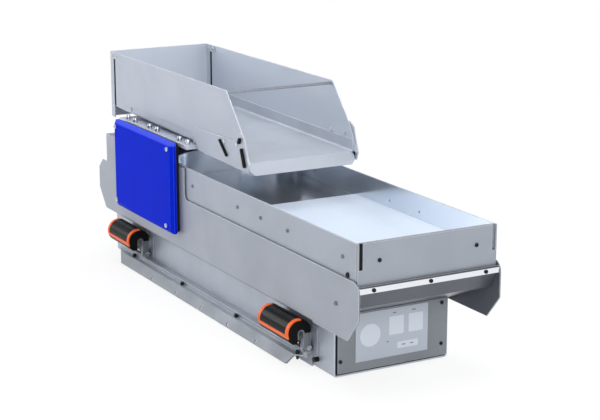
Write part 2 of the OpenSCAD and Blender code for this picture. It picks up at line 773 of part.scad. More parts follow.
// Bracket on the near rail's upper ledge, with a wall plate and two ears for the pin
module clamp_bracket(y0) color(steel) translate([0, y0, 0]) difference() {
    union() {
        translate([-wall_x - 2, -12, ledge_z]) cube([2, lever_l + 18, 38]);
        translate([1 - ledge_x, 2, ledge_z]) cube([ledge_w - 2, lever_l - 4, 2]);
        for (y = [cheek_w + 2, lever_l - cheek_w - 2 - ear_t]) along_y(y, ear_t) {
            translate([pivot_x, pivot_z]) circle(boss_r);
            translate([pivot_x - boss_r, ledge_z + 1]) square([2 * boss_r, pivot_z - ledge_z - 1]);
        }
    }
    translate([pivot_x, 0, pivot_z]) rotate([-90, 0, 0]) cylinder(r = pin_r + 0.02, h = lever_l);
}

module front_clamp_bracket() clamp_bracket(front_lever_y);
module rear_clamp_bracket() clamp_bracket(rear_lever_y);

// Headed pivot pins of the two levers
module clamp_pins() color(bright) for (y0 = [front_lever_y, rear_lever_y])
    translate([pivot_x, y0, pivot_z]) rotate([-90, 0, 0]) {
        translate([0, 0, -1.5]) cylinder(r = pin_r, h = lever_l + 3);
        for (z = [-1.8, lever_l + 0.3]) translate([0, 0, z]) cylinder(r = pin_r + 1.2, h = 1.5);
    }

// Places a lever's [x, z] outline at its pivot
module at_lever(y0) translate([pivot_x, y0, pivot_z]) children();

// Black grip: an arch over a hollow, open towards the wall below the arch
module lever_grip(y0) color(black) at_lever(y0) along_y(0, lever_l) difference() {
    intersection() {
        translate(arch) circle(arch_r);
        translate([arch[0] - 2 * arch_r, grip_low]) square(4 * arch_r);
    }
    translate(hollow) circle(hollow_r);
    translate([hollow[0] - hollow_r, -margin]) square([4 * arch_r, hollow[1] + margin]);
    translate(arch) ring_sector(arch_r + margin, arch_r - trim_t, trim_from, trim_to);
}

// Coloured trim: a band at each end of the arch, joined by a strip along its lower edge
module lever_trim(y0) color(orange) at_lever(y0) {
    for (y = [0, lever_l - trim_w]) along_y(y, trim_w)
        translate(arch) ring_sector(arch_r, arch_r - trim_t, trim_from, trim_to);
    along_y(trim_w - touch, lever_l - 2 * trim_w + 2 * touch)
        translate(arch) ring_sector(arch_r, arch_r - trim_t, pad_to, trim_to);
}

// Glossy grip pad framed by the trim
module lever_pad(y0) color(black) at_lever(y0)
    along_y(trim_w, lever_l - 2 * trim_w)
        translate(arch) ring_sector(arch_r - 0.2, arch_r - trim_t, trim_from, pad_to);

// Bent steel arm that lines the hollow, with two cheeks that turn on the pin
module lever_hook(y0) color(steel) at_lever(y0) difference() {
    union() {
        along_y(1, lever_l - 2) {
            translate(hollow) ring_sector(hollow_r, hollow_r - hook_t, 0, 180);
            translate([hollow[0] - hollow_r, 14]) square([hook_t, hollow[1] - 14 + touch]);
            translate([hollow[0] + hollow_r - hook_t, 15])
                square([2 * hook_t, hollow[1] - 15 + touch]);
        }
        for (y = [0, lever_l - cheek_w]) along_y(y, cheek_w) {
            translate([hollow[0] + hollow_r - hook_t, 0])
                square([boss_r - hollow[0] - hollow_r, hollow[1] - 0.5]);
            circle(boss_r);
        }
    }
    rotate([-90, 0, 0]) translate([0, 0, -margin])
        cylinder(r = pin_r + pin_gap, h = lever_l + 2 * margin);
}

module front_lever_grip() lever_grip(front_lever_y);
module front_lever_trim() lever_trim(front_lever_y);
module front_lever_pad() lever_pad(front_lever_y);
module front_lever_hook() lever_hook(front_lever_y);
module rear_lever_grip() lever_grip(rear_lever_y);
module rear_lever_trim() lever_trim(rear_lever_y);
module rear_lever_pad() lever_pad(rear_lever_y);
module rear_lever_hook() lever_hook(rear_lever_y);

// ---- Drives ----

// Parallel-sided slanted block between two heights, which leans back with the springs
module slanted(w, y, z0, z1, l) along_x(-w / 2, w) polygon([
    [y, z0], [y + l, z0], [y + l + (z1 - z0) * lean, z1], [y + (z1 - z0) * lean, z1]
]);

// Leaf springs from a drive block's top to a carrier, with their lower ends at ys
leaf_l = leaf_t / cos(spring_lean);
module leaves(ys, z0, z1) for (y = ys) slanted(leaf_w, y + leaf_lift * lean, z0 + leaf_lift, z1, leaf_l);
// Seats behind the leaves, standing on a block or hanging under a carrier
module seats(ys, z_base, z0, z1) for (y = ys)
    slanted(leaf_w, y + leaf_l + seat_fit + (z0 - z_base) * lean, z0, z1, seat_l);

// E-shaped magnet core on a foot, with a coil on its middle leg, facing +Y
magnet_leg = magnet_w / 6;
magnet_back = 10;     // depth of the core's back
coil_t = magnet_leg - 1;
module magnet(y0, z0) translate([0, y0, z0]) {
    difference() {
        translate([-magnet_w / 2, 0, 0]) cube([magnet_w, magnet_l, magnet_h]);
        translate([-magnet_w, magnet_back - 1, -margin])
            cube([2 * magnet_w, magnet_l, magnet_leg / 2 + margin]);
        for (x = [-magnet_w / 4 - 3, magnet_w / 4 - 5]) translate([x, magnet_back, -margin])
            cube([magnet_leg, magnet_l, magnet_h + 2 * margin]);
    }
    color([0.6, 0.3, 0.12]) difference() {
        translate([-2 * coil_t, magnet_back + 0.5, magnet_leg / 2 - 3])
            cube([4 * coil_t, magnet_l - magnet_back - 4, magnet_h - magnet_leg / 2 + 6]);
        translate([-coil_t, magnet_back - 1, magnet_leg / 2])
            cube([2 * coil_t, magnet_l, magnet_h - magnet_leg / 2]);
    }
}

module tray_drive_base() color(iron) {
    translate([-tray_drive_w / 2, tray_drive_y0, floor_top])
        cube([tray_drive_w, tray_drive_y1 - tray_drive_y0, drive_h]);
    seats(tray_leaf_ys, tray_drive_top, tray_drive_top - touch, tray_drive_top + seat_h);
}

tray_leaf_top = carrier_under - 6;
module tray_leaf_springs() color(bright) leaves(tray_leaf_ys, tray_drive_top, tray_leaf_top);

tray_magnet_y = (tray_leaf_ys[0] + tray_leaf_ys[1]) / 2;
module tray_magnet() color(iron) magnet(tray_magnet_y, tray_drive_top);
module tray_armature() color(iron)
    translate([-armature_w / 2, tray_magnet_y + magnet_l + air_gap, tray_drive_top + 2])
        cube([armature_w, armature_l, carrier_under - 3 - tray_drive_top - 2]);

// Folded carrier under the tray, with the upper spring seats
module tray_carrier() color(steel) {
    translate([0, 0, carrier_under]) mirror([0, 0, 1])
        along_y(tray_front + tray_carrier_in, tray_rear - tray_front - 2 * tray_carrier_in)
            channel(tray_carrier_w, tray_carrier_h, 3, bend_r);
    seats(tray_leaf_ys, tray_drive_top, carrier_under - 3 - seat_h, carrier_under - 3 + touch);
}

// Block across the housing behind the tray, which carries the hopper's springs
module hopper_drive_base() color(iron) {
    translate([-side_x, hopper_drive_y0, hopper_drive_z])
        cube([2 * side_x, hopper_drive_y1 - hopper_drive_y0, drive_h]);
    seats(hopper_leaf_ys, hopper_drive_top, hopper_drive_top - touch, hopper_drive_top + seat_h);
}

hopper_leaf_top = carrier_z - 3;
module hopper_leaf_springs() color(bright)
    leaves(hopper_leaf_ys, hopper_drive_top, hopper_leaf_top);

hopper_magnet_y = hopper_leaf_ys[0] + 38;
module hopper_magnet() color(iron) magnet(hopper_magnet_y, hopper_drive_top);
module hopper_armature() color(iron)
    translate([-armature_w / 2, hopper_magnet_y + magnet_l + air_gap, hopper_drive_top + 2])
        cube([armature_w, armature_l, carrier_z - hopper_drive_top - 2]);

// ---- Tray ----

// Plan of the tray behind its front plate, drawn in by inset, with two round rear corners
module tray_plan(inset) {
    w = tray_w / 2 - inset;
    r = tray_corner_r - inset;
    y0 = tray_wall_front + inset;
    y1 = tray_rear - inset;
    translate([-w, y0]) square([2 * w, y1 - r - y0]);
    translate([r - w, y0]) square([2 * (w - r), y1 - y0]);
    for (s = [-1, 1]) translate([s * (w - r), y1 - r]) circle(r, $fn = 96);
}

// Tray: walls with a skirt, and a floor
module tray_shell() color(steel) difference() {
    union() {
        translate([0, 0, skirt_z]) linear_extrude(tray_h) difference() {
            tray_plan(0);
            tray_plan(tray_t);
        }
        translate([0, 0, carrier_under]) linear_extrude(tray_t) tray_plan(tray_t / 2);
    }
    at_tray_screws() translate([margin, 0, 0]) translate([tray_t, 0, 0])
        to_near() cylinder(r = 1.7, h = tray_t + 2 * margin);
    both_sides() translate([tray_t + margin - tray_w / 2, seam_screw_y, seam_screw_z])
        to_near() cylinder(r = 2.1, h = tray_t + 2 * margin);
    at_front_screws() translate([0, tray_t + margin, 0])
        to_front() cylinder(r = 1.7, h = tray_t + 2 * margin);
}

// Places its child at each side screw, on the tray wall's outer face
module at_tray_screws() both_sides() for (y = tray_screw_ys)
    translate([-tray_w / 2, y, tray_screw_z]) children();
// Places its child at each front screw, on the outer face of the tray's front wall
module at_front_screws() for (s = [-1, 1])
    translate([s * front_screw_x, tray_wall_front, tray_screw_z]) children();

module tray_screws() color(iron) at_tray_screws() to_near() screw(2.8, 1.6, 1.5, tray_t);

// Front plate, held clear of the tray, with returns at its sides and a slot beside each
module tray_front_plate() color(steel) difference() {
    union() {
        translate([-tray_w / 2, tray_front, skirt_z]) cube([tray_w, tray_t, tray_h]);
        both_sides() translate([-tray_w / 2, tray_front, skirt_z])
            cube([tray_t, tray_t + front_gap, tray_h]);
    }
    both_sides() translate([tray_t - tray_w / 2, tray_front - margin, trough_z + feed_t])
        cube([plate_slot_w, tray_t + 2 * margin, tray_h]);
    at_front_screws() translate([0, margin - front_gap, 0])
        to_front() cylinder(r = 1.7, h = tray_t + 2 * margin);
}

// Washers that hold the front plate clear
module tray_front_spacers() color(bright) at_front_screws() to_front() difference() {
    cylinder(r = 4, h = front_gap);
    translate([0, 0, -margin]) cylinder(r = 1.7, h = front_gap + 2 * margin);
}

// Screws of the front plate, and the two at the seam with the housing
module tray_front_screws() color(black) {
    at_front_screws() translate([0, -front_gap - tray_t, 0])
        to_front() screw(2.8, 1.6, 1.5, 2 * tray_t + front_gap + 1.5);
    both_sides() translate([-tray_w / 2, seam_screw_y, seam_screw_z])
        to_near() screw(seam_screw_r, 2, 2, tray_t + 2);
}

// Light plate that covers the front of the trough
module feed_plate() color(light) {
    x = tray_w / 2 - tray_t - feed_gap;
    translate([-x, tray_wall_front + tray_t + feed_gap, trough_z]) cube([2 * x, feed_l, feed_t]);
}

// ---- Hopper ----

// Outline of a hopper side wall: sloping mouth, notch over the carrier, bridge to the return
module hopper_side() {
    slot_y = hopper_rear - return_l - corner_slot_w;
    polygon([
        mouth,
        [mouth[0] + mouth_low_l, hopper_top - mouth_top_h],
        [hopper_front, hopper_top],
        [hopper_rear - return_l, hopper_top],
        [hopper_rear - return_l, hopper_top - splice_h],
        [slot_y, hopper_top - splice_h],
        [slot_y, side_low_z + 8],
        [carrier_rear - 13, side_low_z + 8],
        [carrier_rear - 13, side_low_z + 15],
        [carrier_front + 11, side_low_z + 15],
        [carrier_front + 11, side_low_z]
    ]);
}

module hopper_wall() difference() {
    along_x(-hopper_w / 2, hopper_t) hopper_side();
    cheek_screw_holes(hopper_t);
    splice_rivet_holes(hopper_t);
}
module hopper_near_wall() color(steel) hopper_wall();
module hopper_far_wall() color(steel) mirror([1, 0, 0]) hopper_wall();

// Rear wall with a folded return at each side
module hopper_rear_wall() color(steel) difference() {
    translate([0, hopper_rear, side_low_z - 13]) linear_extrude(hopper_top - side_low_z + 13)
        mirror([0, 1]) channel(hopper_w, return_l, hopper_t, bend_r);
    both_sides() splice_rivet_holes(hopper_t);
}

// Places its child at the rivets of a near corner plate, on the hopper wall's outer face
module at_splice_rivets() for (
    y = [hopper_rear - return_l - corner_slot_w - 5, hopper_rear - return_l + 4]
) translate([-hopper_w / 2, y, hopper_top - splice_h / 2]) children();
module splice_rivet_holes(t) at_splice_rivets() translate([t + margin, 0, 0])
    to_near() cylinder(r = 1.35, h = t + 2 * margin);

// Plates inside the rear corners that join side walls and returns
module hopper_corner_plates() color(bright) both_sides() difference() {
    translate([-hopper_in, hopper_rear - return_l + 9 - splice_l, hopper_top - splice_h])
        cube([hopper_t, splice_l, splice_h - 0.5]);
    translate([hopper_t, 0, 0]) splice_rivet_holes(hopper_t);
}

// Pan: floor with upturned sides, and a lip that slopes down to the tray
module hopper_pan() color(steel) translate([0, pan_rear, pan_rear_z]) rotate([pan_tilt, 0, 0]) {
    translate([0, 0, -hopper_t]) along_y(-pan_l, pan_l)
        channel(2 * hopper_in, pan_side_h, hopper_t, pan_r);
    translate([2 * bend_r - hopper_in, -touch, -hopper_t])
        cube([2 * (hopper_in - 2 * bend_r), bend_r, hopper_t]);
    translate([0, -pan_l, 0]) rotate([lip_angle, 0, 0]) translate([0, 0, -hopper_t])
        linear_extrude(hopper_t) polygon([
            [-hopper_in + pan_r, touch], [-hopper_in + pan_r - 3, -4],
            [-hopper_in + pan_r - 3, -lip_l + 7], [-hopper_in + pan_r + 4, -lip_l],
            [hopper_in - pan_r - 4, -lip_l], [hopper_in - pan_r + 3, -lip_l + 7],
            [hopper_in - pan_r + 3, -4], [hopper_in - pan_r, touch]
        ]);
}

// Outline of a cheek plate, from the mouth's lower corner
module cheek_outline() translate(mouth) polygon([
    [4, -12], [165, -8.5], [182, 16], [171, 26], [47, 27], [24, 43], [12, 36], [-1, 0]
]);
// Slot with round ends between two points
module slot(a, b, w) {
    lie = atan2(b[1] - a[1], b[0] - a[0]);
    polygon(concat(arc(a, w / 2, lie + 90, lie + 270), arc(b, w / 2, lie - 90, lie + 90)));
}
buffer_fit = 0.02; // clearance between a buffer and its slot
slots = [
    [[88, 21], [66, 2], 3.2],
    [[23.4, 33], [25.6, 29], 5.2],
    [[17.5, 18.5], [9, -3], 5.6]
];
module hopper_cheek() difference() {
    along_x(-hopper_w / 2 - cheek_t, cheek_t) difference() {
        cheek_outline();
        for (s = slots) translate(mouth) slot(s[0], s[1], s[2]);
    }
    translate([-cheek_t, 0, 0]) cheek_screw_holes(cheek_t);
}
module hopper_near_cheek() color(steel) hopper_cheek();
module hopper_far_cheek() color(steel) mirror([1, 0, 0]) hopper_cheek();

// Rubber buffers pressed into the cheeks' slots, proud of the outer faces
module hopper_buffers() color(black) both_sides() for (s = slots)
    along_x(-hopper_w / 2 - cheek_t - buffer_h, cheek_t + buffer_h)
        translate(mouth) slot(s[0], s[1], s[2] - 2 * buffer_fit);

// Places its child at the screws that hold a near cheek, on the hopper wall's outer face
module at_cheek_screws() for (p = [[75, 21.5], [35, 24]])
    translate([-hopper_w / 2, mouth[0] + p[0], mouth[1] + p[1]]) children();
module cheek_screw_holes(t) at_cheek_screws() translate([t + margin, 0, 0])
    to_near() cylinder(r = 1.6, h = t + 2 * margin);

// Screws of the cheeks and rivets of the corner plates
module hopper_screws() color(bright) both_sides() {
    at_cheek_screws() translate([-cheek_t, 0, 0]) to_near() {
        translate([0, 0, -cheek_t - hopper_t - 1.6]) cylinder(r = 2.8, h = 1.6);
        translate([0, 0, -cheek_t - hopper_t - 0.5]) cylinder(r = 1.5, h = cheek_t + hopper_t + 0.8);
        cylinder(r = 2.8, h = 1.2);
    }
    at_splice_rivets() to_near() {
        translate([0, 0, -2 * hopper_t - 1]) cylinder(r = 2.2, h = 1);
        translate([0, 0, -2 * hopper_t - 0.5]) cylinder(r = 1.3, h = 2 * hopper_t + 0.8);
        cylinder(r = 2.2, h = 1);
    }
}

module hopper_cross_rod() color(bright)
    translate([-hopper_in, hopper_front + 4, hopper_top - 4.5])
        rotate([0, 90, 0]) cylinder(r = rod_r, h = 2 * hopper_in);

// Carrier plate under the pan, with two sloping pads and the upper spring seats
module hopper_carrier() color(steel) difference() {
    union() {
        translate([-carrier_x, carrier_front, carrier_z])
            cube([2 * carrier_x, carrier_rear - carrier_front, carrier_t]);
        for (y = [carrier_front + 16, carrier_rear - 28]) along_x(-pad_x, 2 * pad_x) polygon([
            [y, carrier_top - touch], [y + 12, carrier_top - touch],
            [y + 12, pan_under(y + 12)], [y, pan_under(y)]
        ]);
        seats(hopper_leaf_ys, hopper_drive_top, carrier_z - seat_h, carrier_z + touch);
    }
    at_carrier_screws() translate([0, 0, -carrier_t - margin])
        cylinder(r = 2.1, h = carrier_t + 2 * margin);
}

// Places its child at each carrier screw: three pairs along each side
module at_carrier_screws() both_sides() for (
    y = [carrier_front + 12, (carrier_front + carrier_rear) / 2 - 6, carrier_rear - 50],
    dy = [0, 29]
) translate([-carrier_screw_x, y + dy, carrier_top]) children();

module hopper_carrier_screws() color(bright)
    at_carrier_screws() screw(3.8, 7.5, 2, carrier_t + 2);

// ---- The feeder ----

housing_shell();
front_apron();
front_clamp_strip();
front_cross_bar();
housing_rear_wall();
housing_deck();
side_cover();
cover_gasket();
cover_screws();
base_box();
front_panel();
panel_brackets();
rear_panel();
cable_gland();
label_plate();
near_base_rail();
far_base_rail();
rail_bolts();
front_panel_screws();
side_wall_screws();
apron_screws();
locating_pin();
front_clamp_bracket();
rear_clamp_bracket();
clamp_pins();
tray_drive_base();
tray_magnet();
tray_leaf_springs();
hopper_drive_base();
hopper_magnet();
hopper_leaf_springs();
tray_shell();
tray_front_plate();
tray_front_spacers();
feed_plate();
tray_screws();
tray_front_screws();
tray_carrier();
tray_armature();
hopper_near_wall();
hopper_far_wall();
hopper_rear_wall();
hopper_corner_plates();
hopper_pan();
hopper_near_cheek();
hopper_far_cheek();
hopper_buffers();
hopper_cross_rod();
hopper_screws();
hopper_carrier();
hopper_carrier_screws();
hopper_armature();
front_lever_grip();
front_lever_trim();
front_lever_pad();
front_lever_hook();
rear_lever_grip();
rear_lever_trim();
rear_lever_pad();
rear_lever_hook();
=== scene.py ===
"""Linear vibratory feeder: finishes, small fittings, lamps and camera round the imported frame."""

import json
import math

import bmesh
import bpy
from bpy.props import FloatProperty, IntProperty, PointerProperty, StringProperty
from mathutils import Matrix, Vector


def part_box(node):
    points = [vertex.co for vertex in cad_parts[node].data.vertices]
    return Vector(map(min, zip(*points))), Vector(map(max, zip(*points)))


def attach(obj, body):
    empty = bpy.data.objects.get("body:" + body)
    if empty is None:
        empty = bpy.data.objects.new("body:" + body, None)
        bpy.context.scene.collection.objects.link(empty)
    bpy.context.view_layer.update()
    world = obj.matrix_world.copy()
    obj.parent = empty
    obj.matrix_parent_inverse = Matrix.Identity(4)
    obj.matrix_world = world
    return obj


bl_info = {
    "name": "Linear vibratory feeder",
    "version": (1, 0, 0),
    "blender": (4, 5, 0),
    "location": "View3D > Sidebar > Feeder",
    "description": "Finishes, fittings and studio for a linear vibratory feeder",
    "category": "Object",
}

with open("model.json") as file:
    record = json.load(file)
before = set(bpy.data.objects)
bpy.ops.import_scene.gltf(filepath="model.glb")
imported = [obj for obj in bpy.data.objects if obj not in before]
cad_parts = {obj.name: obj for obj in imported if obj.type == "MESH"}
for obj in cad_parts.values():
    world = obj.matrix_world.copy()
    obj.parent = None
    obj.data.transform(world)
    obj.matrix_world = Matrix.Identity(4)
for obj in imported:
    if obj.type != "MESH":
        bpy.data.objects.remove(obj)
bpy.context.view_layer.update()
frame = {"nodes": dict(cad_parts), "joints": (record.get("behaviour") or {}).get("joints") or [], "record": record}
MM = 0.001
COVER_BEVEL = 6 * MM
RAIL_FLANGE = 9 * MM
SKIN = 0.7 * MM
FLOOR_R = 16.0
WIRE_SIDES = 8
STEPS_PER_TURN = 24
BARE_ROUGH = 0.4    # roughness of burnished sheet, as a share of blasted sheet's


# ---- Settings ----

class FeederFinishes(bpy.types.PropertyGroup):
    """Colours of the feeder's finishes, as sRGB hex values"""

    housing: StringProperty(
        name="Housing sheet", description="Bead-blasted sheet of the housing", default="A3A8B1")
    # Painted shade: the housing's inner faces take this darker tone for the shade inside the housing.
    housing_inside_shade: StringProperty(
        name="Housing inside", description="Dusty inner faces of the housing", default="63676D")
    tray: StringProperty(
        name="Tray outside", description="Bead-blasted outer faces of the tray",
        default="A9AFB8")
    hopper: StringProperty(
        name="Hopper outside", description="Bead-blasted outer faces of the hopper",
        default="B6BCC6")
    hopper_inside: StringProperty(
        name="Hopper inside", description="Inner faces of the hopper", default="C9CFD8")
    carrier: StringProperty(
        name="Carrier sheet", description="Sheet of the hopper's carrier", default="C8CDDA")
    # Painted light: the tray's inner faces take this paler tone for the light bounced round the trough.
    tray_inside_light: StringProperty(
        name="Burnished inside", description="Inner faces that the parts rub bright",
        default="DDE3EB")
    pan: StringProperty(
        name="Pan sheet", description="Sheet of the hopper's pan", default="BEC4CD")
    plate: StringProperty(
        name="Front plate sheet", description="Sheet of the tray's front plate",
        default="989DA5")
    base: StringProperty(
        name="Base sheet", description="Sheet of the base box", default="B4BAC3")
    # Painted light and shade: the rails are one sheet in two tones, the level ledges paler where the light falls
    # on them and the sloping flanges darker where they are shaded.
    rail: StringProperty(
        name="Rail flanges", description="Sloping flanges of the two base rails", default="7C8188")
    ledge: StringProperty(
        name="Rail ledges", description="Level ledges of the two base rails", default="A6ABB3")
    # Painted shade: the apron's dark tone stands in for the shade under the tray and front plate.
    apron: StringProperty(
        name="Apron steel", description="Smoother sheet of the front apron", default="595D64")
    # Painted shade: the end panels' dark tone stands in for the shade low down by the floor.
    panel: StringProperty(
        name="Panel steel", description="Sheet of the two end panels", default="7F8489")
    arm: StringProperty(
        name="Lever arm", description="Bent steel arms of the levers", default="84888E")
    polished: StringProperty(
        name="Polished steel", description="Polished clamp strip", default="E6E8EC")
    rod: StringProperty(
        name="Drawn steel", description="Cross rod at the hopper's mouth", default="B0B4BB")
    plated: StringProperty(
        name="Plated steel", description="Zinc-plated screws, pins and rivets", default="CDD0D4")
    spring: StringProperty(
        name="Spring steel", description="Leaf springs of the drives", default="8F939A")
    wire: StringProperty(
        name="Spring wire", description="Wire springs of the levers", default="3C3F45")
    oxide: StringProperty(
        name="Black oxide", description="Blackened screws and pin", default="0F1012")
    dull: StringProperty(
        name="Dull steel", description="Blasted screw heads on the sides", default="7E838B")
    iron: StringProperty(
        name="Painted iron", description="Drive blocks and magnets", default="4B4F55")
    cover: StringProperty(
        name="Cover", description="Moulded side cover", default="0324C4")
    # Painted highlight: the cover's upper bevel is painted paler where the light from above falls on it.
    cover_bevel_highlight: StringProperty(
        name="Cover bevel", description="Upper bevel of the cover, rubbed pale",
        default="3E50D8")
    grip: StringProperty(
        name="Lever grip", description="Moulded lever bodies", default="060607")
    pad: StringProperty(
        name="Grip pad", description="Glossy pads on the levers", default="08090B")
    trim: StringProperty(
        name="Lever trim", description="Coloured frames of the grip pads", default="F0641E")
    rubber: StringProperty(
        name="Rubber", description="Gasket, buffers and seals", default="0C0D0E")
    feed: StringProperty(
        name="Feed plate", description="Light plastic plate in the trough", default="8F9AA8")
    # Painted light: the feed plate glows, though there is no lamp under it.
    feed_painted_glow: StringProperty(
        name="Feed plate glow", description="Light from the lamps under the plate",
        default="E4F0FF")
    film: StringProperty(
        name="Type plate", description="Film of the bare type plate", default="9EA6B0")


class FeederFilm(bpy.types.PropertyGroup):
    """Sizes of the plain fields on the type plate"""

    field_w: FloatProperty(
        name="Field width", description="Width of an upper field", default=23 * MM, unit="LENGTH")
    field_h: FloatProperty(
        name="Field height", description="Height of an upper field", default=26 * MM,
        unit="LENGTH")
    corner: FloatProperty(
        name="Corner radius", description="Radius of the fields' corners", default=1.6 * MM,
        unit="LENGTH")
    disc_r: FloatProperty(
        name="Disc radius", description="Radius of the blank disc", default=16 * MM,
        unit="LENGTH")
    ink_t: FloatProperty(
        name="Ink thickness", description="How far a printed field stands off the film",
        default=0.06 * MM, precision=6, unit="LENGTH")
    field_colour: StringProperty(
        name="Field colour", description="Pale ink of the fields", default="BAC1C9")
    mark_colour: StringProperty(
        name="Mark colour", description="Ink of the short marks", default="4A515B")


class FeederShadeStrips(bpy.types.PropertyGroup):
    """Sizes of the black rubber strips that stand in for the shade in the slots, and of the slots that they fill
    """

    corner_slot: FloatProperty(
        name="Corner slot", description="Width of the hopper's corner slots", default=7 * MM,
        unit="LENGTH")
    corner_t: FloatProperty(
        name="Corner seal", description="Depth of the seals in the corner slots",
        default=1.4 * MM, precision=5, unit="LENGTH")
    front_slot: FloatProperty(
        name="Front slot", description="Width of the slots at the front plate's ends",
        default=5.5 * MM, unit="LENGTH")
    plate_t: FloatProperty(
        name="Plate thickness", description="Thickness of the front plate and its returns",
        default=2 * MM, unit="LENGTH")
    corner: FloatProperty(
        name="Corner radius", description="Radius of a seal's long edges", default=0.4 * MM,
        precision=5, unit="LENGTH")
    set_back: FloatProperty(
        name="Set back", description="How far the front seal lies behind the plate's face",
        default=0.3 * MM, precision=5, unit="LENGTH")
    top_gap: FloatProperty(
        name="Top gap", description="Gap between the front seal and the plate's top edge",
        default=0.5 * MM, precision=5, unit="LENGTH")
    fit: FloatProperty(
        name="Fit", description="Clearance round a seal", default=0.1 * MM, precision=5,
        unit="LENGTH")


class FeederSprings(bpy.types.PropertyGroup):
    """Sizes of the levers' wire springs"""

    wire_r: FloatProperty(
        name="Wire radius", description="Radius of the spring wire", default=0.6 * MM,
        precision=5, unit="LENGTH")
    coil_r: FloatProperty(
        name="Coil radius", description="Radius of the coil's centre line", default=3.3 * MM,
        precision=5, unit="LENGTH")
    start: FloatProperty(
        name="Start", description="Distance from the grip's front end to the coil",
        default=15.4 * MM, unit="LENGTH")
    turns: IntProperty(
        name="Turns", description="Turns round the pivot pin", default=5, min=2, max=8)


class FeederStudio(bpy.types.PropertyGroup):
    """Lamps, floor and lens"""

    floor: StringProperty(
        name="Floor", description="Colour of the floor", default="F3F4F6")
    floor_glow: FloatProperty(
        name="Floor glow", description="Share of plain white in the floor near the feeder",
        default=0.84, min=0, max=1)
    fade_start: FloatProperty(
        name="Fade start", description="Where the floor starts to run into the backdrop",
        default=0.9, unit="LENGTH")
    fade_end: FloatProperty(
        name="Fade end", description="Where the floor has become as white as the backdrop",
        default=2.6, unit="LENGTH")
    top_power: FloatProperty(
        name="Overhead lamp", description="Power of the overhead lamp in watts", default=58,
        min=0)
    front_power: FloatProperty(
        name="Front lamp", description="Power of the lamp ahead of the tray in watts",
        default=48, min=0)
    rear_power: FloatProperty(
        name="Rear lamp", description="Power of the lamp behind the hopper in watts",
        default=38, min=0)
    far_power: FloatProperty(
        name="Far lamp", description="Power of the lamp on the far side in watts", default=60,
        min=0)
    sky_low: FloatProperty(
        name="Sky at the horizon", description="World strength near the horizon", default=0.7)
    sky_high: FloatProperty(
        name="Sky overhead", description="World strength overhead", default=0.4)
    lens: FloatProperty(
        name="Lens", description="Focal length in millimetres", default=98.4, min=10)


# ---- Materials ----

def linear(hex_colour):
    """Linear colour of an sRGB hex value."""
    parts = [int(hex_colour[i:i + 2], 16) / 255 for i in (0, 2, 4)]
    return [c / 12.92 if c <= 0.04045 else ((c + 0.055) / 1.055) ** 2.4 for c in parts] + [1.0]


def add(tree, kind, inputs=None, **settings):
    """Adds a node, sets its properties, and fills or links its inputs."""
    made = tree.nodes.new(kind)
    for key, value in settings.items():
        setattr(made, key, value)
    for key, value in (inputs or {}).items():
        if isinstance(value, bpy.types.NodeSocket):
            tree.links.new(value, made.inputs[key])
        else:
            made.inputs[key].default_value = value
    return made


def begin(name, metallic, roughness):
    """Starts a material and returns it with its tree, shader and object coordinates."""
    made = bpy.data.materials.new(name)
    made.use_nodes = True
    tree = made.node_tree
    shader = tree.nodes["Principled BSDF"]
    shader.inputs["Metallic"].default_value = metallic
    shader.inputs["Roughness"].default_value = roughness
    place = add(tree, "ShaderNodeTexCoord").outputs["Object"]
    return made, tree, shader, place


def noise(tree, place, size, detail=2.0, stretch=None):
    """Noise whose grains are about size metres across, drawn out along stretch."""
    if stretch:
        place = add(tree, "ShaderNodeMapping", {"Vector": place, "Scale": stretch}).outputs[0]
    made = add(tree, "ShaderNodeTexNoise", {"Vector": place, "Scale": 1 / size, "Detail": detail})
    return made.outputs["Fac"]


def ranged(tree, value, low, high, start=0.3, end=0.7):
    """Maps a pattern's range to low..high."""
    return add(tree, "ShaderNodeMapRange", {
        "Value": value, "From Min": start, "From Max": end, "To Min": low, "To Max": high,
    }).outputs["Result"]


def blended(tree, share, first, second):
    """Colour between two, by a share from 0 to 1."""
    made = add(tree, "ShaderNodeMix", {"Factor": share}, data_type="RGBA")
    for socket, value in ((made.inputs[6], first), (made.inputs[7], second)):
        if isinstance(value, bpy.types.NodeSocket):
            tree.links.new(value, socket)
        else:
            socket.default_value = value
    return made.outputs[2]


def eased_edge(tree, radius):
    """Normal that rounds off the edges by radius, and a mask that is 1 on them."""
    rounded = add(tree, "ShaderNodeBevel", {"Radius": radius}, samples=4).outputs["Normal"]
    flat = add(tree, "ShaderNodeNewGeometry").outputs["Normal"]
    match = add(tree, "ShaderNodeVectorMath", {0: rounded, 1: flat}, operation="DOT_PRODUCT")
    mask = ranged(tree, match.outputs["Value"], 1.0, 0.0, 0.80, 0.985)
    return rounded, mask


def bumped(tree, height, distance, strength, normal=None):
    """Normal roughened by a height pattern."""
    inputs = {"Height": height, "Distance": distance, "Strength": strength}
    if normal:
        inputs["Normal"] = normal
    return add(tree, "ShaderNodeBump", inputs).outputs["Normal"]


def join(tree, shader, **sockets):
    """Links patterns to the shader's sockets."""
    for name, socket in sockets.items():
        tree.links.new(socket, shader.inputs[name.replace("_", " ")])


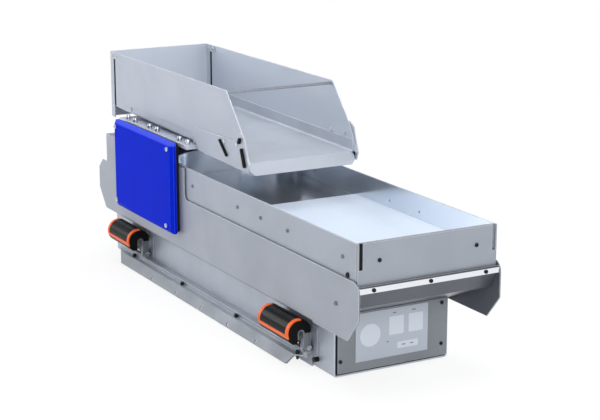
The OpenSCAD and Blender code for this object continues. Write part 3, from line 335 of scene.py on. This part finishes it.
def blasted_stainless(name, base, shade, roughness=0.46, metallic=0.5, edge_r=0.9 * MM,
                      inside=None, skin=0.0, bare=None):
    """Stainless sheet, bead-blasted: a soft grey sheen with faint clouds, and pale edges that are partly rubbed
    and partly a painted highlight.
    """
    made, tree, shader, place = begin(name, metallic, roughness)
    normal, edge = eased_edge(tree, edge_r)
    clouds = noise(tree, place, 85 * MM, 3.0)
    tone = blended(tree, ranged(tree, clouds, 0, 1), linear(base), linear(shade))
    satin = ranged(tree, noise(tree, place, 40 * MM, 2.0), roughness - 0.04, roughness + 0.05)
    if inside:
        # Another tone on every face that lies within skin of the middle plane. It is painted light and shade:
        # paler inside the tray, for light bounced round the trough, and darker inside the housing, for the shade
        # there; on the rails it is the paler tone of the level ledges, which face the light; the hopper's inner
        # faces take a paler tone of their own.
        across = add(tree, "ShaderNodeSeparateXYZ", {"Vector": place}).outputs["X"]
        across = add(tree, "ShaderNodeMath", {0: across}, operation="ABSOLUTE").outputs[0]
        outer = add(tree, "ShaderNodeMath", {0: across, 1: skin},
                    operation="GREATER_THAN").outputs[0]
        tone = blended(tree, outer, linear(inside), tone)
        if bare:
            # Burnished faces are barer metal and smoother, so they mirror what hangs over them.
            # Their edges stay as they were blasted.
            dull = add(tree, "ShaderNodeMath", {0: outer, 1: edge}, operation="MAXIMUM").outputs[0]
            join(tree, shader, Metallic=ranged(tree, dull, bare, metallic, 0.0, 1.0))
            satin = add(tree, "ShaderNodeMath", {
                0: satin, 1: ranged(tree, dull, BARE_ROUGH, 1.0, 0.0, 1.0),
            }, operation="MULTIPLY").outputs[0]
    # The pale edge is partly rubbed metal and partly a painted highlight; it is wider than a real 0.3 mm rubbed
    # edge, so that it shows from across a room.
    rubbed = blended(tree, edge, tone, linear("F1F4F8"))
    # The grain is drawn at 1 mm, because the real 0.1 mm grit is too fine to show.
    grit = noise(tree, place, 1.0 * MM, 2.0)
    join(tree, shader, Base_Color=rubbed, Roughness=satin,
         Normal=bumped(tree, grit, 0.05 * MM, 0.25, normal))
    return made


def polished_stainless(name, base):
    """Stainless, ground and polished: sharp streaky reflections along the piece."""
    made, tree, shader, place = begin(name, 1.0, 0.16)
    normal, edge = eased_edge(tree, 0.4 * MM)
    streaks = noise(tree, place, 6 * MM, 4.0, (0.04, 1.0, 1.0))
    # The near-white edge colour is a painted highlight.
    join(tree, shader, Base_Color=blended(tree, edge, linear(base), linear("F4F5F7")),
         Roughness=ranged(tree, streaks, 0.12, 0.24),
         Normal=bumped(tree, streaks, 0.02 * MM, 0.2, normal))
    return made


def zinc_plated(name, base):
    """Steel, bright zinc-plated: a clean shine with a faint milky bloom."""
    made, tree, shader, place = begin(name, 1.0, 0.26)
    bloom = noise(tree, place, 3 * MM, 2.0)
    join(tree, shader,
         Base_Color=blended(tree, ranged(tree, bloom, 0, 0.35), linear(base), linear("EEF0F2")),
         Roughness=ranged(tree, bloom, 0.2, 0.34))
    return made


def rolled_spring_steel(name, base):
    """Spring steel, cold-rolled and tempered: dark, with fine lengthwise streaks."""
    made, tree, shader, place = begin(name, 1.0, 0.34)
    streaks = noise(tree, place, 1.5 * MM, 3.0, (1.0, 1.0, 0.08))
    join(tree, shader,
         Base_Color=blended(tree, ranged(tree, streaks, 0, 0.5), linear(base), linear("6B7078")),
         Roughness=ranged(tree, streaks, 0.28, 0.42))
    return made


def black_oxide(name, base):
    """Steel, black-oxidised and oiled: near black with a dull gleam, rubbed on its edges."""
    made, tree, shader, place = begin(name, 0.2, 0.42)
    shader.inputs["Specular IOR Level"].default_value = 0.3
    normal, edge = eased_edge(tree, 0.25 * MM)
    worn = add(tree, "ShaderNodeMath", {0: edge, 1: 0.5}, operation="MULTIPLY").outputs[0]
    join(tree, shader, Base_Color=blended(tree, worn, linear(base), linear("5A5D62")),
         Roughness=ranged(tree, noise(tree, place, 1.2 * MM), 0.32, 0.46), Normal=normal)
    return made


def hammered_enamel(name, base):
    """Iron, sand-cast and grey-enamelled: an uneven skin with a low gloss."""
    made, tree, shader, place = begin(name, 0.0, 0.45)
    skin = noise(tree, place, 2.5 * MM, 3.0)
    join(tree, shader,
         Base_Color=blended(tree, ranged(tree, skin, 0, 0.4), linear(base), linear("60646A")),
         Normal=bumped(tree, skin, 0.25 * MM, 0.4))
    return made


def satin_plastic(name, base, roughness, gleam, edge_highlight, edge_highlight_share, grain=0.6 * MM,
                  edge_r=0.6 * MM, bevel_z=None, bevel_highlight_tone=None):
    """Plastic, injection-moulded in a spark-eroded tool: a fine leathery grain, satin gloss."""
    made, tree, shader, place = begin(name, 0.0, roughness)
    normal, edge = eased_edge(tree, edge_r)
    shader.inputs["IOR"].default_value = 1.5
    shader.inputs["Specular IOR Level"].default_value = gleam
    pores = noise(tree, place, grain, 2.0)
    # Painted highlight: the edges are painted paler, towards the highlight colour, by this share.
    share = add(tree, "ShaderNodeMath", {0: edge, 1: edge_highlight_share},
                operation="MULTIPLY").outputs[0]
    flow = ranged(tree, noise(tree, place, 60 * MM, 2.0), 0.0, 0.06)
    deep = blended(tree, flow, linear(base), linear("000000"))
    if bevel_z:
        # Painted highlight: the upper bevel, which starts at this height, is painted paler where the light from
        # above falls on it.
        up = add(tree, "ShaderNodeSeparateXYZ", {"Vector": place}).outputs["Z"]
        deep = blended(tree, ranged(tree, up, 0, 1, bevel_z, bevel_z + 1.5 * MM), deep,
                       linear(bevel_highlight_tone))
    join(tree, shader, Base_Color=blended(tree, share, deep, linear(edge_highlight)),
         Roughness=ranged(tree, pores, roughness - 0.05, roughness + 0.06),
         Normal=bumped(tree, pores, 0.04 * MM, 0.25, normal))
    return made


def glossy_plastic(name, base):
    """Acetal, moulded in a polished tool: deep black with a clear highlight."""
    made, tree, shader, place = begin(name, 0.0, 0.15)
    shader.inputs["IOR"].default_value = 1.48
    shader.inputs["Specular IOR Level"].default_value = 0.1
    wipes = noise(tree, place, 2.0 * MM, 2.0, (1.0, 0.1, 1.0))
    join(tree, shader,
         Base_Color=blended(tree, ranged(tree, wipes, 0, 0.12), linear(base), linear("15171B")),
         Roughness=ranged(tree, wipes, 0.26, 0.3))
    return made


def nitrile_rubber(name, base):
    """Nitrile rubber, cut from sheet: matt, with a dusty bloom."""
    made, tree, shader, place = begin(name, 0.0, 0.78)
    shader.inputs["IOR"].default_value = 1.52
    shader.inputs["Specular IOR Level"].default_value = 0.15
    dust = noise(tree, place, 4 * MM, 3.0)
    join(tree, shader,
         Base_Color=blended(tree, ranged(tree, dust, 0, 0.12), linear(base), linear("3A3C40")),
         Normal=bumped(tree, dust, 0.08 * MM, 0.3))
    return made


def frosted_sheet(name, base, glow):
    """Acrylic sheet, frosted: a milky body with an even pale glow, painted light as if lit from below, with no
    lamp under it.
    """
    made, tree, shader, place = begin(name, 0.0, 0.34)
    shader.inputs["IOR"].default_value = 1.51
    shader.inputs["Subsurface Weight"].default_value = 0.12
    shader.inputs["Subsurface Radius"].default_value = (0.006, 0.007, 0.009)
    normal, edge = eased_edge(tree, 0.5 * MM)
    haze = noise(tree, place, 120 * MM, 2.0)
    scuff = noise(tree, place, 1.4 * MM, 3.0, (1.0, 0.12, 1.0))
    body = blended(tree, ranged(tree, haze, 0, 0.5), linear(base), linear("A3AEBC"))
    # Painted light: the plate glows with this colour and strength, though no lamp is under it.
    shader.inputs["Emission Color"].default_value = linear(glow)
    shader.inputs["Emission Strength"].default_value = 0.44
    # The pale edge colour is a painted highlight.
    join(tree, shader, Base_Color=blended(tree, edge, body, linear("DCE8F6")),
         Roughness=ranged(tree, scuff, 0.28, 0.42),
         Normal=bumped(tree, scuff, 0.03 * MM, 0.2, normal))
    return made


def printed_film(name, base, roughness=0.3):
    """Polyester film, screen-printed from behind: an even tone under a faint texture."""
    made, tree, shader, place = begin(name, 0.0, roughness)
    shader.inputs["IOR"].default_value = 1.6
    weave = noise(tree, place, 0.8 * MM, 1.0)
    join(tree, shader,
         Base_Color=blended(tree, ranged(tree, weave, 0, 0.06), linear(base), linear("FFFFFF")),
         Roughness=ranged(tree, weave, roughness - 0.04, roughness + 0.08),
         Normal=bumped(tree, weave, 0.02 * MM, 0.15))
    return made


def nodes_of(slot):
    """CAD nodes that the record puts in a material slot."""
    return [s["node"] for s in frame["record"]["subparts"] if s["material_slot"] == slot]


def half_width(name):
    """Distance from the middle plane to just under a CAD node's outer faces."""
    low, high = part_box(name)
    return max(-low.x, high.x) - SKIN


def dress(material, nodes):
    """Gives CAD nodes a finish through their material slots."""
    for name in nodes:
        slots = frame["nodes"][name].data.materials
        if not len(slots):
            slots.append(material)
        for i in range(len(slots)):
            slots[i] = material


# ---- Shapes ----

def piece(name, bm, material, body):
    """Turns a bmesh into a piece that rides on a body."""
    bmesh.ops.recalc_face_normals(bm, faces=bm.faces)
    mesh = bpy.data.meshes.new(name)
    bm.to_mesh(mesh)
    bm.free()
    made = bpy.data.objects.new(name, mesh)
    bpy.context.scene.collection.objects.link(made)
    mesh.materials.append(material)
    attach(made, body)
    return made


def rounded_box(bm, low, high, along, corner, segments=3):
    """Box between two corners, with its four edges along an axis rounded."""
    made = bmesh.ops.create_cube(bm, size=1.0)["verts"]
    bmesh.ops.scale(bm, vec=high - low, verts=made)
    bmesh.ops.translate(bm, vec=(high + low) / 2, verts=made)
    own = set(made)
    span = (high - low)[along]
    edges = [e for e in bm.edges if own.issuperset(e.verts)
             and abs(e.verts[0].co[along] - e.verts[1].co[along]) > span / 2]
    bmesh.ops.bevel(bm, geom=edges, offset=corner, offset_type="OFFSET", segments=segments,
                    profile=0.5, affect="EDGES", material=-1, clamp_overlap=True)


def printed_field(bm, centre, width, height, depth, corner):
    """Thin upright field with round corners, whose back lies in the plane y = centre.y."""
    reach = Vector((width / 2, 0, height / 2))
    rounded_box(bm, centre - reach - Vector((0, depth, 0)), centre + reach, 1, corner, 4)


# ---- Operators ----

class FEEDER_OT_sheet_metal(bpy.types.Operator):
    """Finish the sheets, strip and rod in blasted and polished stainless steel"""

    bl_idname = "feeder.sheet_metal"
    bl_label = "Finish sheet metal"

    def execute(self, context):
        tones = context.scene.feeder_finishes
        # The first finish goes on every sheet, and the ones after it replace it on some.
        dress(blasted_stainless("Blasted_stainless_sheet", tones.housing, "9A9FA8"),
              nodes_of("stainless_sheet"))
        # The housing's darker inner tone is painted shade.
        dress(blasted_stainless("Blasted_stainless_housing", tones.housing, "9A9FA8",
                                inside=tones.housing_inside_shade, skin=half_width("housing_shell")),
              ["housing_shell"])
        # The tray's paler inner tone is painted light; the barer, smoother metal inside is its finish.
        dress(blasted_stainless("Blasted_stainless_tray", tones.tray, "A1A7B0",
                                inside=tones.tray_inside_light, skin=half_width("tray_shell"),
                                bare=0.85),
              ["tray_shell"])
        dress(blasted_stainless("Blasted_stainless_hopper", tones.hopper, "AEB4BE",
                                inside=tones.hopper_inside,
                                skin=half_width("hopper_near_wall")),
              ["hopper_near_wall", "hopper_far_wall", "hopper_rear_wall",
               "hopper_near_cheek", "hopper_far_cheek"])
        # The rails' two tones are painted light on the ledges and painted shade on the flanges.
        dress(blasted_stainless("Blasted_stainless_rails", tones.rail, "74797F",
                                inside=tones.ledge,
                                skin=half_width("near_base_rail") - RAIL_FLANGE),
              ["near_base_rail", "far_base_rail"])
        for name, base, shade, nodes in (
            ("Blasted_stainless_carrier", tones.carrier, "C0C5D2", ["hopper_carrier"]),
            ("Blasted_stainless_pan", tones.pan, "B4BAC3", ["hopper_pan"]),
            ("Blasted_stainless_plate", tones.plate, "90959D", ["tray_front_plate"]),
            ("Blasted_stainless_base", tones.base, "ABB1BA", ["base_box"]),
            # The end panels' dark tone is painted shade.
            ("Ground_stainless_sheet", tones.panel, "767B80", ["front_panel", "rear_panel"]),
        ):
            dress(blasted_stainless(name, base, shade), nodes)
        # The apron's dark tone is painted shade, for the shade under the tray and front plate; it is also smoother
        # and more metallic.
        dress(blasted_stainless("Mill_finish_stainless", tones.apron, "50545B",
                                roughness=0.34, metallic=0.6),
              ["front_apron"])
        dress(blasted_stainless("Blasted_steel_arm", tones.arm, "74787E",
                                roughness=0.5, metallic=0.8, edge_r=0.4 * MM),
              ["front_lever_hook", "rear_lever_hook"])
        dress(polished_stainless("Polished_stainless", tones.polished),
              nodes_of("polished_steel"))
        dress(rolled_spring_steel("Drawn_steel_rod", tones.rod), ["hopper_cross_rod"])
        return {"FINISHED"}


class FEEDER_OT_fasteners(bpy.types.Operator):
    """Finish the screws, pins and rivets in zinc plate and black oxide"""

    bl_idname = "feeder.fasteners"
    bl_label = "Finish fasteners"

    def execute(self, context):
        tones = context.scene.feeder_finishes
        dress(zinc_plated("Zinc_plated_steel", tones.plated), nodes_of("bright_steel"))
        dress(black_oxide("Black_oxide_steel", tones.oxide), nodes_of("black_steel"))
        dress(blasted_stainless("Blasted_steel_screws", tones.dull, "74797F",
                                roughness=0.5, metallic=0.8, edge_r=0.3 * MM),
              nodes_of("dull_steel"))
        return {"FINISHED"}


class FEEDER_OT_drives(bpy.types.Operator):
    """Finish the leaf springs, drive blocks and magnets"""

    bl_idname = "feeder.drives"
    bl_label = "Finish drives"

    def execute(self, context):
        tones = context.scene.feeder_finishes
        dress(rolled_spring_steel("Rolled_spring_steel", tones.spring), nodes_of("spring_steel"))
        dress(hammered_enamel("Grey_enamelled_iron", tones.iron), nodes_of("painted_iron"))
        return {"FINISHED"}


class FEEDER_OT_plastics(bpy.types.Operator):
    """Finish the cover, gasket, buffers, levers and feed plate"""

    bl_idname = "feeder.plastics"
    bl_label = "Finish plastics and rubber"

    def execute(self, context):
        tones = context.scene.feeder_finishes
        # The pale edge colours below are painted highlights on the plastics' edges.
        dress(satin_plastic("Moulded_blue_ABS", tones.cover, grain=1.2 * MM, roughness=0.5,
                            gleam=0.02, edge_highlight="7F8CFF", edge_highlight_share=0.5, edge_r=1.4 * MM,
                            bevel_z=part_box("side_cover")[1].z - COVER_BEVEL,
                            bevel_highlight_tone=tones.cover_bevel_highlight),
              nodes_of("blue_plastic"))
        dress(satin_plastic("Moulded_black_nylon", tones.grip, roughness=0.45, gleam=0.14,
                            edge_highlight="8A8D92", edge_highlight_share=0.1),
              nodes_of("black_plastic"))
        dress(satin_plastic("Moulded_orange_nylon", tones.trim, roughness=0.4, gleam=0.2,
                            edge_highlight="FFB27A", edge_highlight_share=0.3),
              nodes_of("orange_plastic"))
        dress(glossy_plastic("Polished_black_acetal", tones.pad), nodes_of("pad_plastic"))
        dress(nitrile_rubber("Nitrile_rubber", tones.rubber), nodes_of("black_rubber"))
        dress(frosted_sheet("Frosted_acrylic", tones.feed, tones.feed_painted_glow),
              nodes_of("light_plate"))
        return {"FINISHED"}


class FEEDER_OT_shade_strips(bpy.types.Operator):
    """Put black rubber strips into the hopper's corner slots and the tray's near front slot, as painted shade that
    makes the slots show dark
    """

    bl_idname = "feeder.seals"
    bl_label = "Press in seals"

    def execute(self, context):
        seals = context.scene.feeder_seals
        # These black strips are painted shade: they stand in for the shade inside the slots.
        rubber = nitrile_rubber("Nitrile_seal", context.scene.feeder_finishes.rubber)

        # Each corner slot lies between a side wall and the return of the rear wall.
        wall_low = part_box("hopper_near_wall")[0]
        return_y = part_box("hopper_rear_wall")[0].y
        slot_y = return_y - seals.corner_slot
        wall = frame["nodes"]["hopper_near_wall"].data
        ends = [v.co.z for v in wall.vertices if abs(v.co.y - slot_y) < 0.2 * MM]
        bm = bmesh.new()
        for side in (-1, 1):
            outer = -side * wall_low.x
            xs = sorted((outer - side * seals.fit, outer - side * seals.corner_t))
            rounded_box(bm, Vector((xs[0], slot_y + seals.fit, min(ends) + seals.fit)),
                        Vector((xs[1], return_y - seals.fit, max(ends) - seals.fit)), 2,
                        seals.corner)
        piece("hopper_corner_seals", bm, rubber, "hopper")

        # The near front slot lies just inside the front plate's side return.
        plate_low, plate_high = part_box("tray_front_plate")
        left = plate_low.x + seals.plate_t
        bm = bmesh.new()
        foot_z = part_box("feed_plate")[1].z + seals.fit
        rounded_box(bm, Vector((left + seals.fit, plate_low.y + seals.set_back, foot_z)),
                    Vector((left + seals.front_slot - seals.fit, plate_high.y,
                            plate_high.z - seals.top_gap)), 2, seals.corner)
        piece("tray_front_seal", bm, rubber, "tray")
        return {"FINISHED"}


class FEEDER_OT_type_plate(bpy.types.Operator):
    """Finish the type plate and print plain fields on it, with no words"""

    bl_idname = "feeder.type_plate"
    bl_label = "Print type plate"

    def execute(self, context):
        tones = context.scene.feeder_finishes
        film = context.scene.feeder_film
        dress(printed_film("Printed_polyester_film", tones.film), nodes_of("label_plate"))
        low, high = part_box("label_plate")
        width, height = high.x - low.x, high.z - low.z

        def at(across, down):
            return Vector((low.x + across * width, low.y, high.z - down * height))

        fields = bmesh.new()
        for across in (0.56, 0.83):
            printed_field(fields, at(across, 0.36), film.field_w, film.field_h, film.ink_t,
                          film.corner)
        printed_field(fields, at(0.72, 0.79), 1.45 * film.field_w, 0.36 * film.field_h,
                      film.ink_t, film.corner)
        disc = bmesh.ops.create_cone(
            fields, cap_ends=True, segments=64, radius1=film.disc_r, radius2=film.disc_r,
            depth=film.ink_t,
            matrix=Matrix.Translation(at(0.2, 0.48) - Vector((0, film.ink_t / 2, 0)))
            @ Matrix.Rotation(math.radians(90), 4, "X"))["verts"]
        own = set(disc)
        rim = [e for e in fields.edges if own.issuperset(e.verts)
               and abs(e.verts[0].co.y - e.verts[1].co.y) < film.ink_t / 4]
        bmesh.ops.bevel(fields, geom=rim, offset=film.ink_t / 4, segments=1, profile=0.5,
                        affect="EDGES", material=-1)
        piece("type_plate_fields", fields, printed_film("Pale_ink", film.field_colour, 0.4),
              "base")

        marks = bmesh.new()
        for across, down, w in ((0.53, 0.095, 5.5), (0.8, 0.095, 5.5), (0.44, 0.68, 3.5),
                                (0.665, 0.79, 6.0), (0.775, 0.79, 5.0)):
            printed_field(marks, at(across, down) - Vector((0, film.ink_t, 0)), w * MM, 1.5 * MM,
                          film.ink_t, 0.6 * MM)
        piece("type_plate_marks", marks, printed_film("Grey_ink", film.mark_colour, 0.4),
              "base")
        return {"FINISHED"}


class FEEDER_OT_lever_springs(bpy.types.Operator):
    """Wind a wire spring round each lever's pivot pin"""

    bl_idname = "feeder.lever_springs"
    bl_label = "Wind lever springs"

    def execute(self, context):
        springs = context.scene.feeder_springs
        steel = rolled_spring_steel("Wire_spring_steel", context.scene.feeder_finishes.wire)
        for lever in ("front_lever", "rear_lever"):
            joint = next(j for j in frame["joints"] if j["child"] == lever)
            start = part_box(lever + "_grip")[0].y + springs.start
            wind_spring(lever + "_spring", Vector(joint["pos_m"]), start, springs, steel)
        return {"FINISHED"}


def wind_spring(name, pin, start, springs, material):
    """Helical wire round the pin, whose turns nearly touch, from y = start."""
    pitch = 2.3 * springs.wire_r
    bm = bmesh.new()
    ring = bmesh.ops.create_circle(
        bm, cap_ends=False, radius=springs.wire_r, segments=WIRE_SIDES,
        matrix=Matrix.Translation(pin + Vector((springs.coil_r, start - pin.y, 0))))["verts"]
    edges = list(bm.edges)
    bmesh.ops.spin(
        bm, geom=ring + edges, cent=pin, axis=(0, 1, 0), dvec=(0, pitch / STEPS_PER_TURN, 0),
        angle=math.radians(360) * springs.turns, steps=STEPS_PER_TURN * springs.turns,
        use_merge=False, use_duplicate=False)
    bmesh.ops.holes_fill(bm, edges=[e for e in bm.edges if e.is_boundary], sides=0)
    made = piece(name, bm, material, "base")
    made.data.shade_smooth()


# Each lamp's name, power setting, place, aim and size, in metres.
LAMPS = (
    ("Overhead_lamp", "top_power", (-0.2, 0.1, 3.2), (0, 0, 0.15), 2.6),
    ("Front_lamp", "front_power", (-0.2, -2.95, 1.45), (0, 0, 0.2), 1.6),
    ("Rear_lamp", "rear_power", (-2.0, 2.5, 1.4), (0, 0, 0.2), 1.8),
    ("Far_lamp", "far_power", (3.0, 0.2, 1.4), (0, 0, 0.2), 1.8),
)


class FEEDER_OT_studio(bpy.types.Operator):
    """Lay the floor, hang the lamps and place the camera"""

    bl_idname = "feeder.studio"
    bl_label = "Set up studio"

    def execute(self, context):
        studio = context.scene.feeder_studio
        lay_floor(studio)
        for name, power, place, aim, size in LAMPS:
            hang_lamp(name, place, aim, size, getattr(studio, power))
        light_sky(context.scene, studio.sky_low, studio.sky_high)
        place_camera(context.scene, studio.lens)
        context.scene.view_settings.view_transform = "Standard"
        return {"FINISHED"}


def seen(tree):
    """Mask that is 1 for what the camera, metal and glass show."""
    path = add(tree, "ShaderNodeLightPath").outputs
    plain = add(tree, "ShaderNodeMath", {0: path["Is Camera Ray"], 1: path["Is Glossy Ray"]},
                operation="MAXIMUM").outputs[0]
    return add(tree, "ShaderNodeMath", {0: plain, 1: path["Is Transmission Ray"]},
               operation="MAXIMUM").outputs[0]


def lay_floor(studio):
    """Round matt floor that shows nearly white and keeps the soft shadow."""
    bm = bmesh.new()
    bmesh.ops.create_circle(bm, cap_ends=True, radius=FLOOR_R, segments=96)
    mesh = bpy.data.meshes.new("Studio_floor")
    bm.to_mesh(mesh)
    bm.free()
    floor = bpy.data.objects.new("Studio_floor", mesh)
    bpy.context.scene.collection.objects.link(floor)
    made = bpy.data.materials.new("Matt_paper")
    made.use_nodes = True
    tree = made.node_tree
    output = tree.nodes["Material Output"]
    tree.nodes.remove(tree.nodes["Principled BSDF"])
    matt = add(tree, "ShaderNodeBsdfDiffuse", {"Color": linear(studio.floor)})
    glow = add(tree, "ShaderNodeEmission", {"Color": linear("FFFFFF"), "Strength": 1.0})
    # The floor keeps a faint shadow near the feeder and runs into the backdrop further out.
    place = add(tree, "ShaderNodeTexCoord").outputs["Object"]
    far = add(tree, "ShaderNodeVectorMath", {0: place}, operation="LENGTH").outputs["Value"]
    white = ranged(tree, far, studio.floor_glow, 1.0, studio.fade_start, studio.fade_end)
    share = add(tree, "ShaderNodeMath", {0: seen(tree), 1: white},
                operation="MULTIPLY").outputs[0]
    mixed = add(tree, "ShaderNodeMixShader", {0: share})
    tree.links.new(matt.outputs[0], mixed.inputs[1])
    tree.links.new(glow.outputs[0], mixed.inputs[2])
    tree.links.new(mixed.outputs[0], output.inputs["Surface"])
    mesh.materials.append(made)


def hang_lamp(name, place, aim, size, power):
    """Square soft lamp at a place, turned to its aim."""
    lamp = bpy.data.lights.new(name, "AREA")
    lamp.shape = "SQUARE"
    lamp.size = size
    lamp.energy = power
    made = bpy.data.objects.new(name, lamp)
    bpy.context.scene.collection.objects.link(made)
    made.location = place
    made.rotation_euler = (Vector(aim) - Vector(place)).to_track_quat("-Z", "Y").to_euler()


def light_sky(scene, low, high):
    """World that is brighter overhead than at the horizon."""
    world = bpy.data.worlds.new("Studio_sky")
    world.use_nodes = True
    tree = world.node_tree
    up = add(tree, "ShaderNodeSeparateXYZ",
             {"Vector": add(tree, "ShaderNodeTexCoord").outputs["Generated"]}).outputs["Z"]
    sky = tree.nodes["Background"]
    sky.inputs["Color"].default_value = linear("F7F9FF")
    tree.links.new(ranged(tree, up, low, high, 0.0, 0.9), sky.inputs["Strength"])
    backdrop = add(tree, "ShaderNodeBackground", {"Color": linear("FFFFFF"), "Strength": 1.0})
    camera = add(tree, "ShaderNodeLightPath").outputs["Is Camera Ray"]
    both = add(tree, "ShaderNodeMixShader", {0: camera})
    tree.links.new(sky.outputs[0], both.inputs[1])
    tree.links.new(backdrop.outputs[0], both.inputs[2])
    tree.links.new(both.outputs[0], tree.nodes["World Output"].inputs["Surface"])
    scene.world = world


def place_camera(scene, lens):
    """Camera ahead of the discharge end, to the left and a little above."""
    data = bpy.data.cameras.new("Camera")
    data.lens = lens
    data.sensor_width = 36.0
    data.clip_start, data.clip_end = 0.05, 60.0
    camera = bpy.data.objects.new("Camera", data)
    scene.collection.objects.link(camera)
    camera.location = (-1.1342, -2.1236, 0.7535)
    camera.rotation_euler = (math.radians(75.859), 0.0, math.radians(-29.006))
    scene.camera = camera


# ---- Panel and registration ----

STEPS = (
    FEEDER_OT_studio, FEEDER_OT_sheet_metal, FEEDER_OT_fasteners, FEEDER_OT_drives,
    FEEDER_OT_plastics, FEEDER_OT_shade_strips, FEEDER_OT_type_plate, FEEDER_OT_lever_springs,
)


class FEEDER_PT_steps(bpy.types.Panel):
    """Steps that dress the feeder"""

    bl_label = "Vibratory feeder"
    bl_idname = "FEEDER_PT_steps"
    bl_space_type = "VIEW_3D"
    bl_region_type = "UI"
    bl_category = "Feeder"

    def draw(self, context):
        for step in STEPS:
            self.layout.operator(step.bl_idname)


SETTINGS = {
    "feeder_finishes": FeederFinishes,
    "feeder_film": FeederFilm,
    "feeder_seals": FeederShadeStrips,
    "feeder_springs": FeederSprings,
    "feeder_studio": FeederStudio,
}


def register():
    for group in SETTINGS.values():
        bpy.utils.register_class(group)
    for step in STEPS:
        bpy.utils.register_class(step)
    bpy.utils.register_class(FEEDER_PT_steps)
    for name, group in SETTINGS.items():
        setattr(bpy.types.Scene, name, PointerProperty(type=group))


def unregister():
    for name in SETTINGS:
        delattr(bpy.types.Scene, name)
    bpy.utils.unregister_class(FEEDER_PT_steps)
    for step in reversed(STEPS):
        bpy.utils.unregister_class(step)
    for group in SETTINGS.values():
        bpy.utils.unregister_class(group)


def main():
    """Dresses the frame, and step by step."""
    register()
    bpy.ops.feeder.studio()
    bpy.ops.feeder.sheet_metal()
    bpy.ops.feeder.fasteners()
    bpy.ops.feeder.drives()
    bpy.ops.feeder.plastics()
    bpy.ops.feeder.seals()
    bpy.ops.feeder.type_plate()
    bpy.ops.feeder.lever_springs()


if __name__ == "__main__":
    main()
